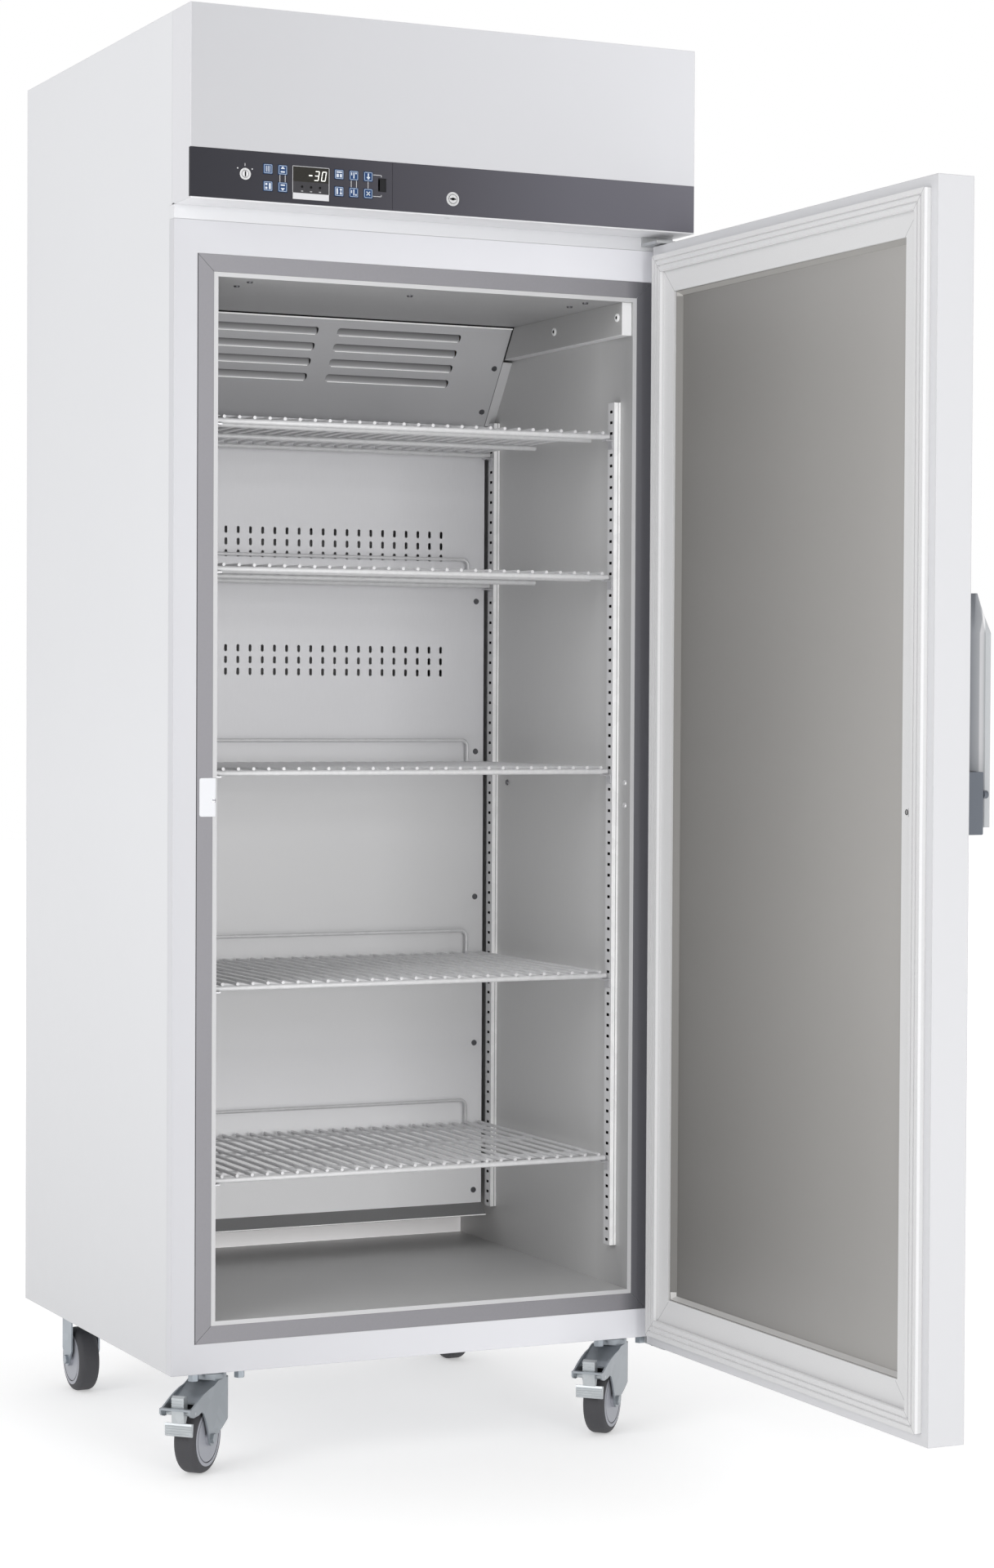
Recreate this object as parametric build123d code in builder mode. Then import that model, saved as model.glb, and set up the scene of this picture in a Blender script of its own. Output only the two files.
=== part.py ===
from build123d import *
import os
from math import cos, hypot, radians, sqrt

os.makedirs("parts", exist_ok=True)

# A laboratory freezer on castors, with its door open at a right angle.
# X runs across the front, Y from the front frame's face to the rear, Z up from the floor.
# Heights are given above the underside of the body, and up() puts them over the castors.

# Body
body_width = 750.0
body_depth = 653.0
body_height = 1821.0
castor_height = 134.0
steel = 1.2
frame_steel = 2.6
insulated_height = 1546.4
side_front = 18.0
seam = 0.2

# Cold cavity
cavity_half_width = 312.15
cavity_floor = 70.1
cavity_ceiling = 1472.6
cavity_rear = 572.7
trim_width = 6.0
strip_width = 23.5
strip_thickness = 1.2

# Header over the door
header_underside = 1565.0
header_reach = 62.7
header_back = 9.0
header_steel = 1.5
band_bottom = 1567.0
band_top = 1632.0
band_thickness = 2.0
band_return = 4.0
band_seam_x = -86.6
band_seam_width = 0.5

# Controls on the band: places across and heights
key_switch_x = -298.7
key_switch_height = 1601.0
key_plug_diameter = 11.0
key_ring_diameter = 15.5
header_lock_x = 2.2
header_lock_height = 1588.5
lock_plug_diameter = 13.4
lock_ring_diameter = 19.0
ring_proud = 1.2
plug_proud = 1.8
plug_depth = 16.0
turning_gap = 0.2
button_columns = (-266.4, -245.5, -164.6, -143.3, -122.3)
button_rows = (1610.0, 1587.3)
button_size = 13.0
button_proud = 0.8
button_gap = 0.2
button_depth = 5.0
display_x = -205.1
display_height = 1595.0
display_width = 52.8
display_tall = 44.0
display_proud = 0.4
data_slot_x = -101.6
data_slot_height = 1600.0
data_slot_width = 12.0
data_slot_tall = 18.0
data_slot_depth = 1.2
drop_bolt_width = 8.0
drop_bolt_thickness = 4.0
drop_bolt_length = 46.0
drop_bolt_depth = 17.7
bolt_gap = 0.4

# Door, measured from its hinge edge across, from its inner face outwards, and by height
door_width = 739.0
door_thickness = 52.0
door_bottom = -6.0
door_top = 1550.0
door_skin_steel = 1.2
door_face_gap = 10.7
hinge_x = 354.5
hinge_y = -30.0
hinge_inset = 13.5
door_return = 30.0
dish_hinge_side = 70.0
dish_free_side = 672.0
dish_bottom = 67.5
dish_top = 1480.0
dish_depth = 8.0
dish_wall = 2.0
dish_taper = 35.0
gasket_edge = 15.0
gasket_bulb = 24.0
gasket_height = 10.0
gasket_web = 3.0
gasket_groove = 2.2

# Handle on the outer face
handle_side = 714.0
grip_side = 703.0
grip_width = 40.0
grip_reach = 56.0
grip_lip = 10.0
grip_bottom = 753.0
grip_shoulder = 994.0
handle_top = 1043.0
lock_block_bottom = 744.0
lock_block_top = 822.0
lock_block_width = 36.0
lock_knob_place = 709.0
lock_spindle_diameter = 6.0
lock_spindle_length = 15.0
lock_block_reach = 39.0
lock_knob_height = 794.0
lock_knob_diameter = 10.0
lock_knob_reach = 6.5
lock_bolt_height = 772.0
lock_bolt_place = 684.0
lock_bolt_diameter = 4.4
lock_bolt_length = 30.0
lock_sleeve_diameter = 9.0
strike_height = 52.0
strike_outer = 337.0
strike_inner = 314.0
strike_proud = 0.3
strike_corner = 3.0

# Hinges
hinge_pin_diameter = 8.0
hinge_bush_diameter = 14.0
hinge_bush_length = 20.0
hinge_flange_diameter = 18.0
hinge_flange = 1.2
hinge_plate = 4.0
hinge_plate_width = 48.0
hinge_plate_reach = 18.0
hinge_foot_reach = 7.0
pin_fit = 0.1

# Inside: duct, cover, rails and pilasters
duct_face = 463.0
duct_half_width = 297.0
duct_bottom = 132.5
duct_top = 1331.0
duct_sheet = 1.5
duct_lip_y = 444.0
duct_lip_height = 115.5
slot_width = 4.6
slot_length = 10.8
slot_pitch_x = 19.5
slot_columns = 24
slot_pitch_z = 17.5
slot_rows = 3
slot_bands = (1143.8, 967.7)
cover_top_y = 362.0
cover_lip_gap = 1.5
louvre_starts = (18.0, 44.5, 70.5, 96.5)
louvre_height = 13.0
louvre_inner_x = 15.0
louvre_outer_x = 216.0
rail_width = 15.0
rail_bottom = 1426.0
rail_front = 4.5
left_rail_front = 40.0
rail_rear = 394.0
pilaster_width = 20.0
pilaster_depth = 10.0
pilaster_front = 36.0
pilaster_rear = 440.0
pilaster_bottom = 128.0
pilaster_top = 1334.0
pilaster_slot_width = 8.0
pilaster_slot_height = 4.0
pilaster_pitch = 15.4
pilaster_first_slot = 135.2
pilaster_slots = 78

# Shelves: the slot that each one's clips hang in, and its wires
shelf_slots = (74, 61, 43, 24, 7)
clip_rise = 10.0
shelf_half_width = 298.0
shelf_bar = 7.6
shelf_wire = 4.6
shelf_wires = 27
shelf_wire_pitch = 22.1
shelf_front = 46.0
shelf_rear = 448.0
shelf_cross_bars = (104.0, 286.0)
shelf_stop_height = 40.0
shelf_stop_half_width = 266.0
shelf_stop_wire = 5.0
rest_gap = 0.3

# Castors
wheel_diameter = 95.0
wheel_tread = 31.0
wheel_disc = 76.0
wheel_ring = 66.0
wheel_groove = 1.2
axle_diameter = 10.0
axle_nut = 7.0
axle_nut_height = 3.5
castor_x = 306.0
front_castor_y = 38.0
rear_castor_y = 594.0
castor_trail = 38.0
fork_gap = 20.0
fork_steel = 2.5
crown_height = 118.0
crown_steel = 4.0
crown_back = 22.0
crown_front = 20.0
crown_corner = 13.0
fork_length = 110.0
strap_height = 96.0
strap_steel = 3.0
strap_depth = 6.0
swivel_diameter = 46.0
kingpin_diameter = 10.0
plate_bolt_x = 33.0
plate_bolt_y = 27.0
plate_bolt_head = 7.5
plate_bolt_height = 10.0
pedal_pivot = 92.0
pedal_pivot_height = 91.0
pedal_link_half_width = 9.0
pedal_lobe_height = 114.5
pedal_lobe_front = 101.5
pedal_front = 99.5
pedal_bottom = 60.0
pedal_top = 78.0
pedal_steel = 5.0
pedal_half_width = 19.5
pedal_pin_diameter = 4.0

# Cooling unit
coil_half_width = 240.0
coil_front = 480.0
coil_rear = 560.0
coil_bottom = 1348.0
coil_top = 1462.0
coil_fins = 33
coil_tube = 9.5
fan_slope_place = 89.5
evaporator_fan_diameter = 120.0
evaporator_fan_depth = 12.0
condenser_left = -330.0
condenser_right = -50.0
condenser_front = 60.0
condenser_rear = 110.0
condenser_top = 1800.0
condenser_fins = 29
condenser_fan_diameter = 200.0
condenser_fan_height = 1675.0
fan_thickness = 22.0
compressor_x = 170.0
compressor_y = 350.0
compressor_radius = 75.0
compressor_tall = 190.0
suction_x = 275.0
suction_y = 520.0
suction_diameter = 10.0
liquid_x = 300.0
liquid_y = 542.0
liquid_diameter = 6.0
pipe_clearance = 1.0
inlet_x = -250.0
inlet_height = 1600.0
inlet_width = 48.0
inlet_tall = 28.0

half_width = body_width / 2
deck_top = insulated_height + steel
hinge_depth = -hinge_y - door_face_gap
door_inner_x = hinge_x - hinge_depth
door_edge_y = hinge_y + hinge_inset
closed_edge_x = hinge_x + hinge_inset
lock_bolt_x = closed_edge_x - lock_bolt_place
trim_half = cavity_half_width + trim_width
strip_half = trim_half + strip_width
trim_bottom = cavity_floor - trim_width
trim_top = cavity_ceiling + trim_width
strip_bottom = trim_bottom - strip_width
strip_top = trim_top + strip_width
slope_run = duct_face - cover_top_y
slope_drop = cavity_ceiling - duct_top
slope_length = hypot(slope_run, slope_drop)
slope_y = slope_run / slope_length
slope_z = slope_drop / slope_length


def up(height):
    """Height above the floor of a height above the body's underside."""
    return castor_height + height


def facing(depth):
    """Upright plane at a depth, facing the viewer, X across and Z up."""
    return Plane.XZ.offset(-depth)


def slab(x1, x2, y1, y2, z1, z2, mode=Mode.ADD):
    """Block between two corners, in the piece that is being made."""
    with BuildSketch(Plane.XY.offset(z1)) as form:
        with Locations(((x1 + x2) / 2, (y1 + y2) / 2)):
            Rectangle(x2 - x1, y2 - y1)
    extrude(form.sketch, amount=z2 - z1, mode=mode)


def door_level(height):
    """Level plane of the door: across from the hinge edge, then out from the inner face."""
    return Plane(origin=(door_inner_x, door_edge_y, up(height)), x_dir=(0, -1, 0), z_dir=(0, 0, 1))


def door_face(depth):
    """Upright plane in the door at a depth from its inner face, facing the cabinet."""
    origin = (door_inner_x + depth, door_edge_y, castor_height)
    return Plane(origin=origin, x_dir=(0, -1, 0), z_dir=(-1, 0, 0))


def door_slab(u1, u2, v1, v2, h1, h2, mode=Mode.ADD):
    """Block of the door between two corners, in the piece that is being made."""
    with BuildSketch(door_level(h1)) as form:
        with Locations(((u1 + u2) / 2, (v1 + v2) / 2)):
            Rectangle(u2 - u1, v2 - v1)
    extrude(form.sketch, amount=h2 - h1, mode=mode)


def rod(plane, diameter, length, mode=Mode.ADD):
    """Round bar from a plane's origin along its normal."""
    with BuildSketch(plane) as form:
        Circle(diameter / 2)
    extrude(form.sketch, amount=length, mode=mode)


def door_rod(place, height, depth, diameter, length, mode=Mode.ADD):
    """Round bar in the door from a depth towards the inner face."""
    with BuildSketch(door_face(depth)) as form:
        with Locations((place, height)):
            Circle(diameter / 2)
    extrude(form.sketch, amount=length, mode=mode)


def pipe_holes(bottom, top):
    """Holes for the two refrigerant pipes that go down into the cold space."""
    for x, y, diameter in ((suction_x, suction_y, suction_diameter), (liquid_x, liquid_y, liquid_diameter)):
        with BuildSketch(Plane.XY.offset(bottom)) as form:
            with Locations((x, y)):
                Circle(diameter / 2 + pipe_clearance)
        extrude(form.sketch, amount=top - bottom, mode=Mode.SUBTRACT)


def bolt_hole(front, rear, diameter):
    """Round hole in the cabinet for the door's lock bolt."""
    with BuildSketch(facing(front)) as form:
        with Locations((lock_bolt_x, up(lock_bolt_height))):
            Circle(diameter / 2)
    extrude(form.sketch, amount=front - rear, mode=Mode.SUBTRACT)


# Outer casing: the folded sides, top, rear and floor, and the deck over the insulated box
vent_height = 1700.0
vent_length = 80.0
vent_width = 8.0
vent_pitch_x = 110.0
vent_pitch_z = 20.0

with BuildPart() as outer_casing:
    slab(-half_width, half_width, side_front + seam, body_depth, up(0), up(header_underside))
    slab(-half_width, half_width, header_back + seam, body_depth, up(header_underside), up(body_height))
    slab(-half_width + steel, half_width - steel, -1, body_depth - steel,
         up(steel), up(body_height) - steel, mode=Mode.SUBTRACT)
    with BuildSketch(facing(body_depth + 1)):
        with Locations((vent_pitch_x / 2, up(vent_height))):
            with GridLocations(vent_pitch_x, vent_pitch_z, 4, 9):
                SlotOverall(vent_length, vent_width)
        with Locations((inlet_x, up(inlet_height))):
            Rectangle(inlet_width + 2 * seam, inlet_tall + 2 * seam)
    extrude(amount=steel + 2, mode=Mode.SUBTRACT)

with BuildPart() as deck:
    deck_half = half_width - steel - seam
    slab(-deck_half, deck_half, steel, body_depth - steel - seam, up(insulated_height), up(deck_top))
    upstand_half = half_width - header_steel - 2 * seam
    slab(-upstand_half, upstand_half, 0, steel, up(insulated_height), up(band_bottom + vent_pitch_z))
    slab(-half_width, half_width, 0, steel, up(insulated_height), up(header_underside) - seam)
    for side in (-1, 1):
        outer = side * half_width
        inner = side * (half_width - steel)
        slab(min(outer, inner), max(outer, inner), 0, side_front,
             up(insulated_height), up(header_underside) - seam)
    pipe_holes(up(insulated_height) - 1, up(deck_top) + 1)

with BuildPart() as casing_and_deck:
    add(outer_casing.part)
    add(deck.part)

casing_and_deck.part.label = "outer_casing"
export_step(casing_and_deck.part, "parts/outer_casing.step")


# Insulation: the foam between the casing and the liner
bolt_pocket = 14.0

with BuildPart() as insulation:
    slab(-half_width + steel, half_width - steel, frame_steel, body_depth - steel,
         up(steel), up(insulated_height))
    slab(-cavity_half_width - steel, cavity_half_width + steel, 0, cavity_rear + steel,
         up(cavity_floor - steel), up(cavity_ceiling + steel), mode=Mode.SUBTRACT)
    pipe_holes(up(cavity_ceiling), up(insulated_height) + 1)
    bolt_hole(0, bolt_pocket, lock_bolt_diameter + 4 * bolt_gap)

insulation.part.label = "insulation"
export_step(insulation.part, "parts/insulation.step")


# Inner liner: the metal tank of the cold space, with its flange round the opening
with BuildPart() as inner_liner:
    slab(-cavity_half_width - steel, cavity_half_width + steel, frame_steel, cavity_rear + steel,
         up(cavity_floor - steel), up(cavity_ceiling + steel))
    slab(-trim_half, trim_half, 0, frame_steel, up(trim_bottom), up(trim_top))
    slab(-cavity_half_width, cavity_half_width, -1, cavity_rear,
         up(cavity_floor), up(cavity_ceiling), mode=Mode.SUBTRACT)
    slab(-trim_half - 1, -strike_inner + seam, -1, strip_thickness,
         up(lock_bolt_height - strike_height / 2 + 4) - seam,
         up(lock_bolt_height + strike_height / 2 + 4) + seam, mode=Mode.SUBTRACT)
    pipe_holes(up(cavity_ceiling) - 1, up(cavity_ceiling + steel) + 1)
    bolt_hole(-1, frame_steel, lock_bolt_diameter + 4 * bolt_gap)

inner_liner.part.label = "inner_liner"
export_step(inner_liner.part, "parts/inner_liner.step")


# Front frame: the folded steel face round the opening, with a rebate for the gasket's strips
with BuildPart() as front_frame:
    slab(-half_width, half_width, 0, side_front, up(0), up(insulated_height) - seam)
    slab(-half_width + steel, half_width - steel, frame_steel, side_front + 1,
         up(steel), up(insulated_height), mode=Mode.SUBTRACT)
    slab(-trim_half, trim_half, -1, frame_steel + 1, up(trim_bottom), up(trim_top), mode=Mode.SUBTRACT)
    slab(-strip_half, strip_half, -1, strip_thickness, up(strip_bottom), up(strip_top), mode=Mode.SUBTRACT)
    bolt_hole(0, frame_steel + 1, lock_bolt_diameter + 4 * bolt_gap)

front_frame.part.label = "front_frame"
export_step(front_frame.part, "parts/front_frame.step")


# Gasket strips: four mitred steel bars that the door's magnetic gasket closes on
def strip_bar(corners):
    """One mitred bar of the gasket strip, from its four corners."""
    with BuildSketch(facing(0)) as form:
        with BuildLine():
            Polyline(*corners, close=True)
        make_face()
    extrude(form.sketch, amount=-strip_thickness)


with BuildPart() as gasket_strip:
    for side in (-1, 1):
        outer = side * (strip_half - seam)
        inner = side * (trim_half + seam)
        strip_bar(((outer, up(strip_bottom) + 2 * seam), (inner, up(trim_bottom) + seam),
                   (inner, up(trim_top) - seam), (outer, up(strip_top) - 2 * seam)))
    for outer, inner, inward in ((strip_bottom, trim_bottom, seam), (strip_top, trim_top, -seam)):
        outer_half = strip_half - 3 * seam
        inner_half = trim_half - seam
        strip_bar(((-outer_half, up(outer) + inward), (outer_half, up(outer) + inward),
                   (inner_half, up(inner) - inward), (-inner_half, up(inner) - inward)))
    slab(-strike_outer - seam, -trim_half, -1, strip_thickness + 1,
         up(lock_bolt_height - strike_height / 2 + 4) - seam,
         up(lock_bolt_height + strike_height / 2 + 4) + seam, mode=Mode.SUBTRACT)

gasket_strip.part.label = "gasket_strip"
export_step(gasket_strip.part, "parts/gasket_strip.step")


# Strike plate: takes the door's lock bolt in a notch, let into the strip and the liner's flange
with BuildPart() as strike_plate:
    slab(-strike_outer, -strike_inner, -strike_proud, strip_thickness,
         up(lock_bolt_height - strike_height / 2 + 4), up(lock_bolt_height + strike_height / 2 + 4))
    fillet(edges().filter_by(Axis.Y).group_by(Axis.X)[0], radius=strike_corner)
    notch = lock_bolt_diameter / 2 + bolt_gap
    slab(lock_bolt_x - notch, -strike_inner + 1, -1, strip_thickness + 1,
         up(lock_bolt_height) - notch, up(lock_bolt_height) + notch, mode=Mode.SUBTRACT)

strike_plate.part.label = "strike_plate"
export_step(strike_plate.part, "parts/strike_plate.step")


# Header panel: the white cover in front of the cooling unit, open at the rear
header_front = -header_reach
band_rear = header_front + band_thickness + band_return
drop_bolt_y = header_front + drop_bolt_depth

with BuildPart() as header_panel:
    slab(-half_width, half_width, header_front, header_back, up(header_underside), up(body_height))
    slab(-half_width + header_steel, half_width - header_steel, header_front + header_steel,
         header_back + 1, up(header_underside) + header_steel, up(body_height) - header_steel,
         mode=Mode.SUBTRACT)
    slab(-half_width - 1, half_width + 1, header_front - 1, band_rear,
         up(band_bottom), up(band_top), mode=Mode.SUBTRACT)
    slab(-half_width - 1, half_width + 1, -seam, header_back + 1,
         up(header_underside) - 1, up(header_underside) + header_steel, mode=Mode.SUBTRACT)
    slab(header_lock_x - drop_bolt_width / 2 - bolt_gap, header_lock_x + drop_bolt_width / 2 + bolt_gap,
         drop_bolt_y - drop_bolt_thickness / 2 - bolt_gap, drop_bolt_y + drop_bolt_thickness / 2 + bolt_gap,
         up(header_underside) - 1, up(header_underside) + header_steel + 1, mode=Mode.SUBTRACT)

header_panel.part.label = "header_panel"
export_step(header_panel.part, "parts/header_panel.step")


# Control band: the dark strip across the header, folded round both ends
data_slit_width = 3.0
band_seam_depth = 0.6

with BuildPart() as control_band:
    slab(-half_width, half_width, header_front, band_rear, up(band_bottom) + seam, up(band_top) - seam)
    slab(-half_width + header_steel, half_width - header_steel, header_front + band_thickness,
         band_rear + 1, up(band_bottom), up(band_top), mode=Mode.SUBTRACT)
    with BuildSketch(facing(header_front)):
        with Locations((key_switch_x, up(key_switch_height))):
            Circle(key_plug_diameter / 2 + turning_gap)
        with Locations((header_lock_x, up(header_lock_height))):
            Circle(lock_plug_diameter / 2 + turning_gap)
        with Locations(*[(x, up(z)) for x in button_columns for z in button_rows]):
            Rectangle(button_size + 2 * button_gap, button_size + 2 * button_gap)
        with Locations((display_x, up(display_height))):
            Rectangle(display_width + 2 * seam, display_tall + 2 * seam)
        with Locations((data_slot_x - data_slot_width / 2 + data_slit_width / 2, up(data_slot_height))):
            Rectangle(data_slit_width, data_slot_tall - data_slit_width)
    extrude(amount=-band_thickness, mode=Mode.SUBTRACT)
    slab(data_slot_x - data_slot_width / 2, data_slot_x + data_slot_width / 2,
         header_front, header_front + data_slot_depth, up(data_slot_height - data_slot_tall / 2),
         up(data_slot_height + data_slot_tall / 2), mode=Mode.SUBTRACT)
    slab(band_seam_x - band_seam_width / 2, band_seam_x + band_seam_width / 2,
         header_front, header_front + band_seam_depth, up(band_bottom), up(band_top), mode=Mode.SUBTRACT)

control_band.part.label = "control_band"
export_step(control_band.part, "parts/control_band.step")


# Display module: the window in its frame, with its circuit board behind the band
display_lip = 3.5
board_lip = 4.5
board_steel = 1.6

with BuildPart() as display_module:
    band_back = header_front + band_thickness
    for grow, near, far in ((0, header_front - display_proud, band_back),
                            (display_lip, band_back, band_back + 2),
                            (board_lip, band_back + 2, band_back + 2 + board_steel)):
        slab(display_x - display_width / 2 - grow, display_x + display_width / 2 + grow, near, far,
             up(display_height - display_tall / 2 - grow), up(display_height + display_tall / 2 + grow))

display_module.part.label = "display_module"
export_step(display_module.part, "parts/display_module.step")


# Push buttons: square caps held behind the band by their flanges
button_names = ("defrost", "lamp", "up", "down", "alarm_log", "recorder",
                "high_limit", "low_limit", "memory", "cancel")
button_flange = 1.5
button_places = [(x, z) for x in button_columns for z in button_rows]

for name, (x, z) in zip(button_names, button_places):
    with BuildPart() as button:
        reach = button_size / 2
        lip = reach + button_flange
        near = header_front - button_proud
        slab(x - reach, x + reach, near, near + button_depth, up(z) - reach, up(z) + reach)
        slab(x - lip, x + lip, header_front + band_thickness + 2 * button_gap, near + button_depth,
             up(z) - lip, up(z) + lip)
        fillet(faces().sort_by(Axis.Y)[0].edges(), radius=0.4)
    button.part.label = f"button_{name}"
    export_step(button.part, f"parts/button_{name}.step")


# Key switch and header lock: plugs that turn in the band, and the bolt that the lock lowers
key_slot_depth = 4.0

with BuildPart() as key_switch_cylinder:
    front = header_front - plug_proud
    with BuildSketch(facing(front)):
        with Locations((key_switch_x, up(key_switch_height))):
            Circle(key_plug_diameter / 2)
    extrude(amount=-plug_depth)
    slab(key_switch_x - 1, key_switch_x + 1, front - 1, front + key_slot_depth,
         up(key_switch_height) - key_plug_diameter / 3, up(key_switch_height) + key_plug_diameter / 3,
         mode=Mode.SUBTRACT)

key_switch_cylinder.part.label = "key_switch_cylinder"
export_step(key_switch_cylinder.part, "parts/key_switch_cylinder.step")

with BuildPart() as header_lock_cylinder:
    with BuildSketch(facing(front)):
        with Locations((header_lock_x, up(header_lock_height))):
            Circle(lock_plug_diameter / 2)
    extrude(amount=-plug_depth)
    slab(header_lock_x - lock_plug_diameter / 3, header_lock_x + lock_plug_diameter / 3,
         front - 1, front + key_slot_depth, up(header_lock_height) - 1, up(header_lock_height) + 1,
         mode=Mode.SUBTRACT)

header_lock_cylinder.part.label = "header_lock_cylinder"
export_step(header_lock_cylinder.part, "parts/header_lock_cylinder.step")

with BuildPart() as header_lock_bolt:
    slab(header_lock_x - drop_bolt_width / 2, header_lock_x + drop_bolt_width / 2,
         drop_bolt_y - drop_bolt_thickness / 2, drop_bolt_y + drop_bolt_thickness / 2,
         up(header_underside), up(header_underside + drop_bolt_length))

header_lock_bolt.part.label = "header_lock_bolt"
export_step(header_lock_bolt.part, "parts/header_lock_bolt.step")


# Door skin: a steel pan with its edge returned on the inner face
drop_bolt_place = closed_edge_x - header_lock_x
drop_bolt_door_depth = -door_face_gap - drop_bolt_y
skin_hole_gap = 0.1


def dish(depth, growth, mode):
    """The inner panel's tapered recess, or the same form grown by a wall."""
    with BuildSketch(door_face(0)) as form:
        with Locations(((dish_hinge_side + dish_free_side) / 2, (dish_bottom + dish_top) / 2)):
            Rectangle(dish_free_side - dish_hinge_side + 2 * growth, dish_top - dish_bottom + 2 * growth)
    extrude(form.sketch, amount=-depth, taper=dish_taper, mode=mode)


def bush_holes(diameter, depth):
    """Blind holes for the hinge bushes in both ends of the door."""
    for plane, length in ((door_level(door_bottom - 1), depth + 1), (door_level(door_top + 1), -depth - 1)):
        with BuildSketch(plane) as form:
            with Locations((hinge_inset, hinge_depth)):
                Circle(diameter / 2)
        extrude(form.sketch, amount=length, mode=Mode.SUBTRACT)


def drop_bolt_pocket(depth):
    """Pocket for the header's bolt in the door's top edge."""
    door_slab(drop_bolt_place - drop_bolt_width, drop_bolt_place + drop_bolt_width,
              drop_bolt_door_depth - drop_bolt_thickness, drop_bolt_door_depth + drop_bolt_thickness,
              door_top - depth, door_top + 1, mode=Mode.SUBTRACT)


with BuildPart() as door_skin:
    door_slab(0, door_width, 0, door_thickness, door_bottom, door_top)
    edge = door_skin_steel
    door_slab(edge, door_width - edge, edge, door_thickness - edge,
              door_bottom + edge, door_top - edge, mode=Mode.SUBTRACT)
    door_slab(door_return, door_width - door_return, -1, edge,
              door_bottom + door_return, door_top - door_return, mode=Mode.SUBTRACT)
    bush_holes(hinge_bush_diameter + 2 * skin_hole_gap, edge)
    drop_bolt_pocket(edge)
    door_rod(lock_bolt_place, lock_bolt_height, door_thickness + 1,
             lock_sleeve_diameter + 2 * skin_hole_gap, edge + 1, mode=Mode.SUBTRACT)

door_skin.part.label = "door_skin"
export_step(door_skin.part, "parts/door_skin.step")


# Door inner panel: a formed sheet with a shallow dish
with BuildPart() as door_inner_panel:
    rim = door_return + seam
    door_slab(rim, door_width - rim, 0, dish_wall, door_bottom + rim, door_top - rim)
    dish(dish_depth + dish_wall, dish_wall, Mode.ADD)
    dish(dish_depth, 0, Mode.SUBTRACT)
    door_rod(lock_bolt_place, lock_bolt_height, dish_wall, lock_bolt_diameter + 2 * bolt_gap,
             dish_wall, mode=Mode.SUBTRACT)

door_inner_panel.part.label = "door_inner_panel"
export_step(door_inner_panel.part, "parts/door_inner_panel.step")


# Door foam: fills the pan behind the inner panel
drop_pocket_depth = 14.0

with BuildPart() as door_foam:
    edge = door_skin_steel
    door_slab(edge, door_width - edge, edge, door_thickness - edge, door_bottom + edge, door_top - edge)
    door_slab(rim - seam, door_width - rim + seam, 0, dish_wall,
              door_bottom + rim - seam, door_top - rim + seam, mode=Mode.SUBTRACT)
    dish(dish_depth + dish_wall, dish_wall, Mode.SUBTRACT)
    bush_holes(hinge_bush_diameter, hinge_bush_length)
    drop_bolt_pocket(drop_pocket_depth)
    door_rod(lock_bolt_place, lock_bolt_height, door_thickness, lock_sleeve_diameter,
             door_thickness, mode=Mode.SUBTRACT)

door_foam.part.label = "door_foam"
export_step(door_foam.part, "parts/door_foam.step")


# Door gasket: a soft web against the inner panel and a ribbed bulb that meets the cabinet
gasket_free = door_width - gasket_edge
gasket_low = door_bottom + gasket_edge
gasket_high = door_top - gasket_edge
groove_depth = 4.0


def gasket_ring(inset, width, near, far, mode):
    """Rectangular ring of the gasket, inset from its outer edge, standing off the inner face."""
    door_slab_outer = (gasket_edge + inset, gasket_free - inset, gasket_low + inset, gasket_high - inset)
    left, right, bottom, top = door_slab_outer
    with BuildSketch(door_face(-near)) as form:
        with Locations(((left + right) / 2, (bottom + top) / 2)):
            Rectangle(right - left, top - bottom)
            Rectangle(right - left - 2 * width, top - bottom - 2 * width, mode=Mode.SUBTRACT)
    extrude(form.sketch, amount=far - near, mode=mode)


with BuildPart() as door_gasket:
    with BuildSketch(door_face(0)):
        with Locations(((gasket_edge + gasket_free) / 2, (gasket_low + gasket_high) / 2)):
            Rectangle(gasket_free - gasket_edge, gasket_high - gasket_low)
        with Locations(((dish_hinge_side + dish_free_side) / 2, (dish_bottom + dish_top) / 2)):
            Rectangle(dish_free_side - dish_hinge_side + 1, dish_top - dish_bottom + 1, mode=Mode.SUBTRACT)
    extrude(amount=gasket_web)
    gasket_ring(0, gasket_bulb, gasket_web, gasket_height, Mode.ADD)
    for share in (1, 2):
        inset = share * gasket_bulb / 3 - gasket_groove / 2
        gasket_ring(inset, gasket_groove, gasket_height - groove_depth, gasket_height, Mode.SUBTRACT)
    door_rod(lock_bolt_place, lock_bolt_height, 0, lock_bolt_diameter + 2 * bolt_gap,
             gasket_height + 1, mode=Mode.SUBTRACT)

door_gasket.part.label = "door_gasket"
export_step(door_gasket.part, "parts/door_gasket.step")


# Handle grip: a bar with a finger scoop along its free side, sloping back to the door at its top
scoop_foot = 13.0
scoop_belly = 17.0
grip_corner = 5.0
slope_lip = 30.5
slope_reach = 35.5


def grip_section(height, lip_start, reach):
    """Level section of the grip: the scoop, the lip and the rounded back."""
    face = door_thickness
    back = grip_side - grip_width
    share = lip_start / (grip_reach - grip_lip)
    scoop_point = (grip_side - share * scoop_foot, face)
    middle = (grip_side - share * scoop_belly, face + lip_start / 2)
    with BuildSketch(door_level(height)) as form:
        with BuildLine():
            ThreePointArc(scoop_point, middle, (grip_side, face + lip_start))
            Polyline((grip_side, face + lip_start), (grip_side, face + reach), (back, face + reach),
                     (back, face), scoop_point)
        make_face()
        fillet(vertices().group_by(Axis.Y)[-1], radius=grip_corner)
    return form.sketch


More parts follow.
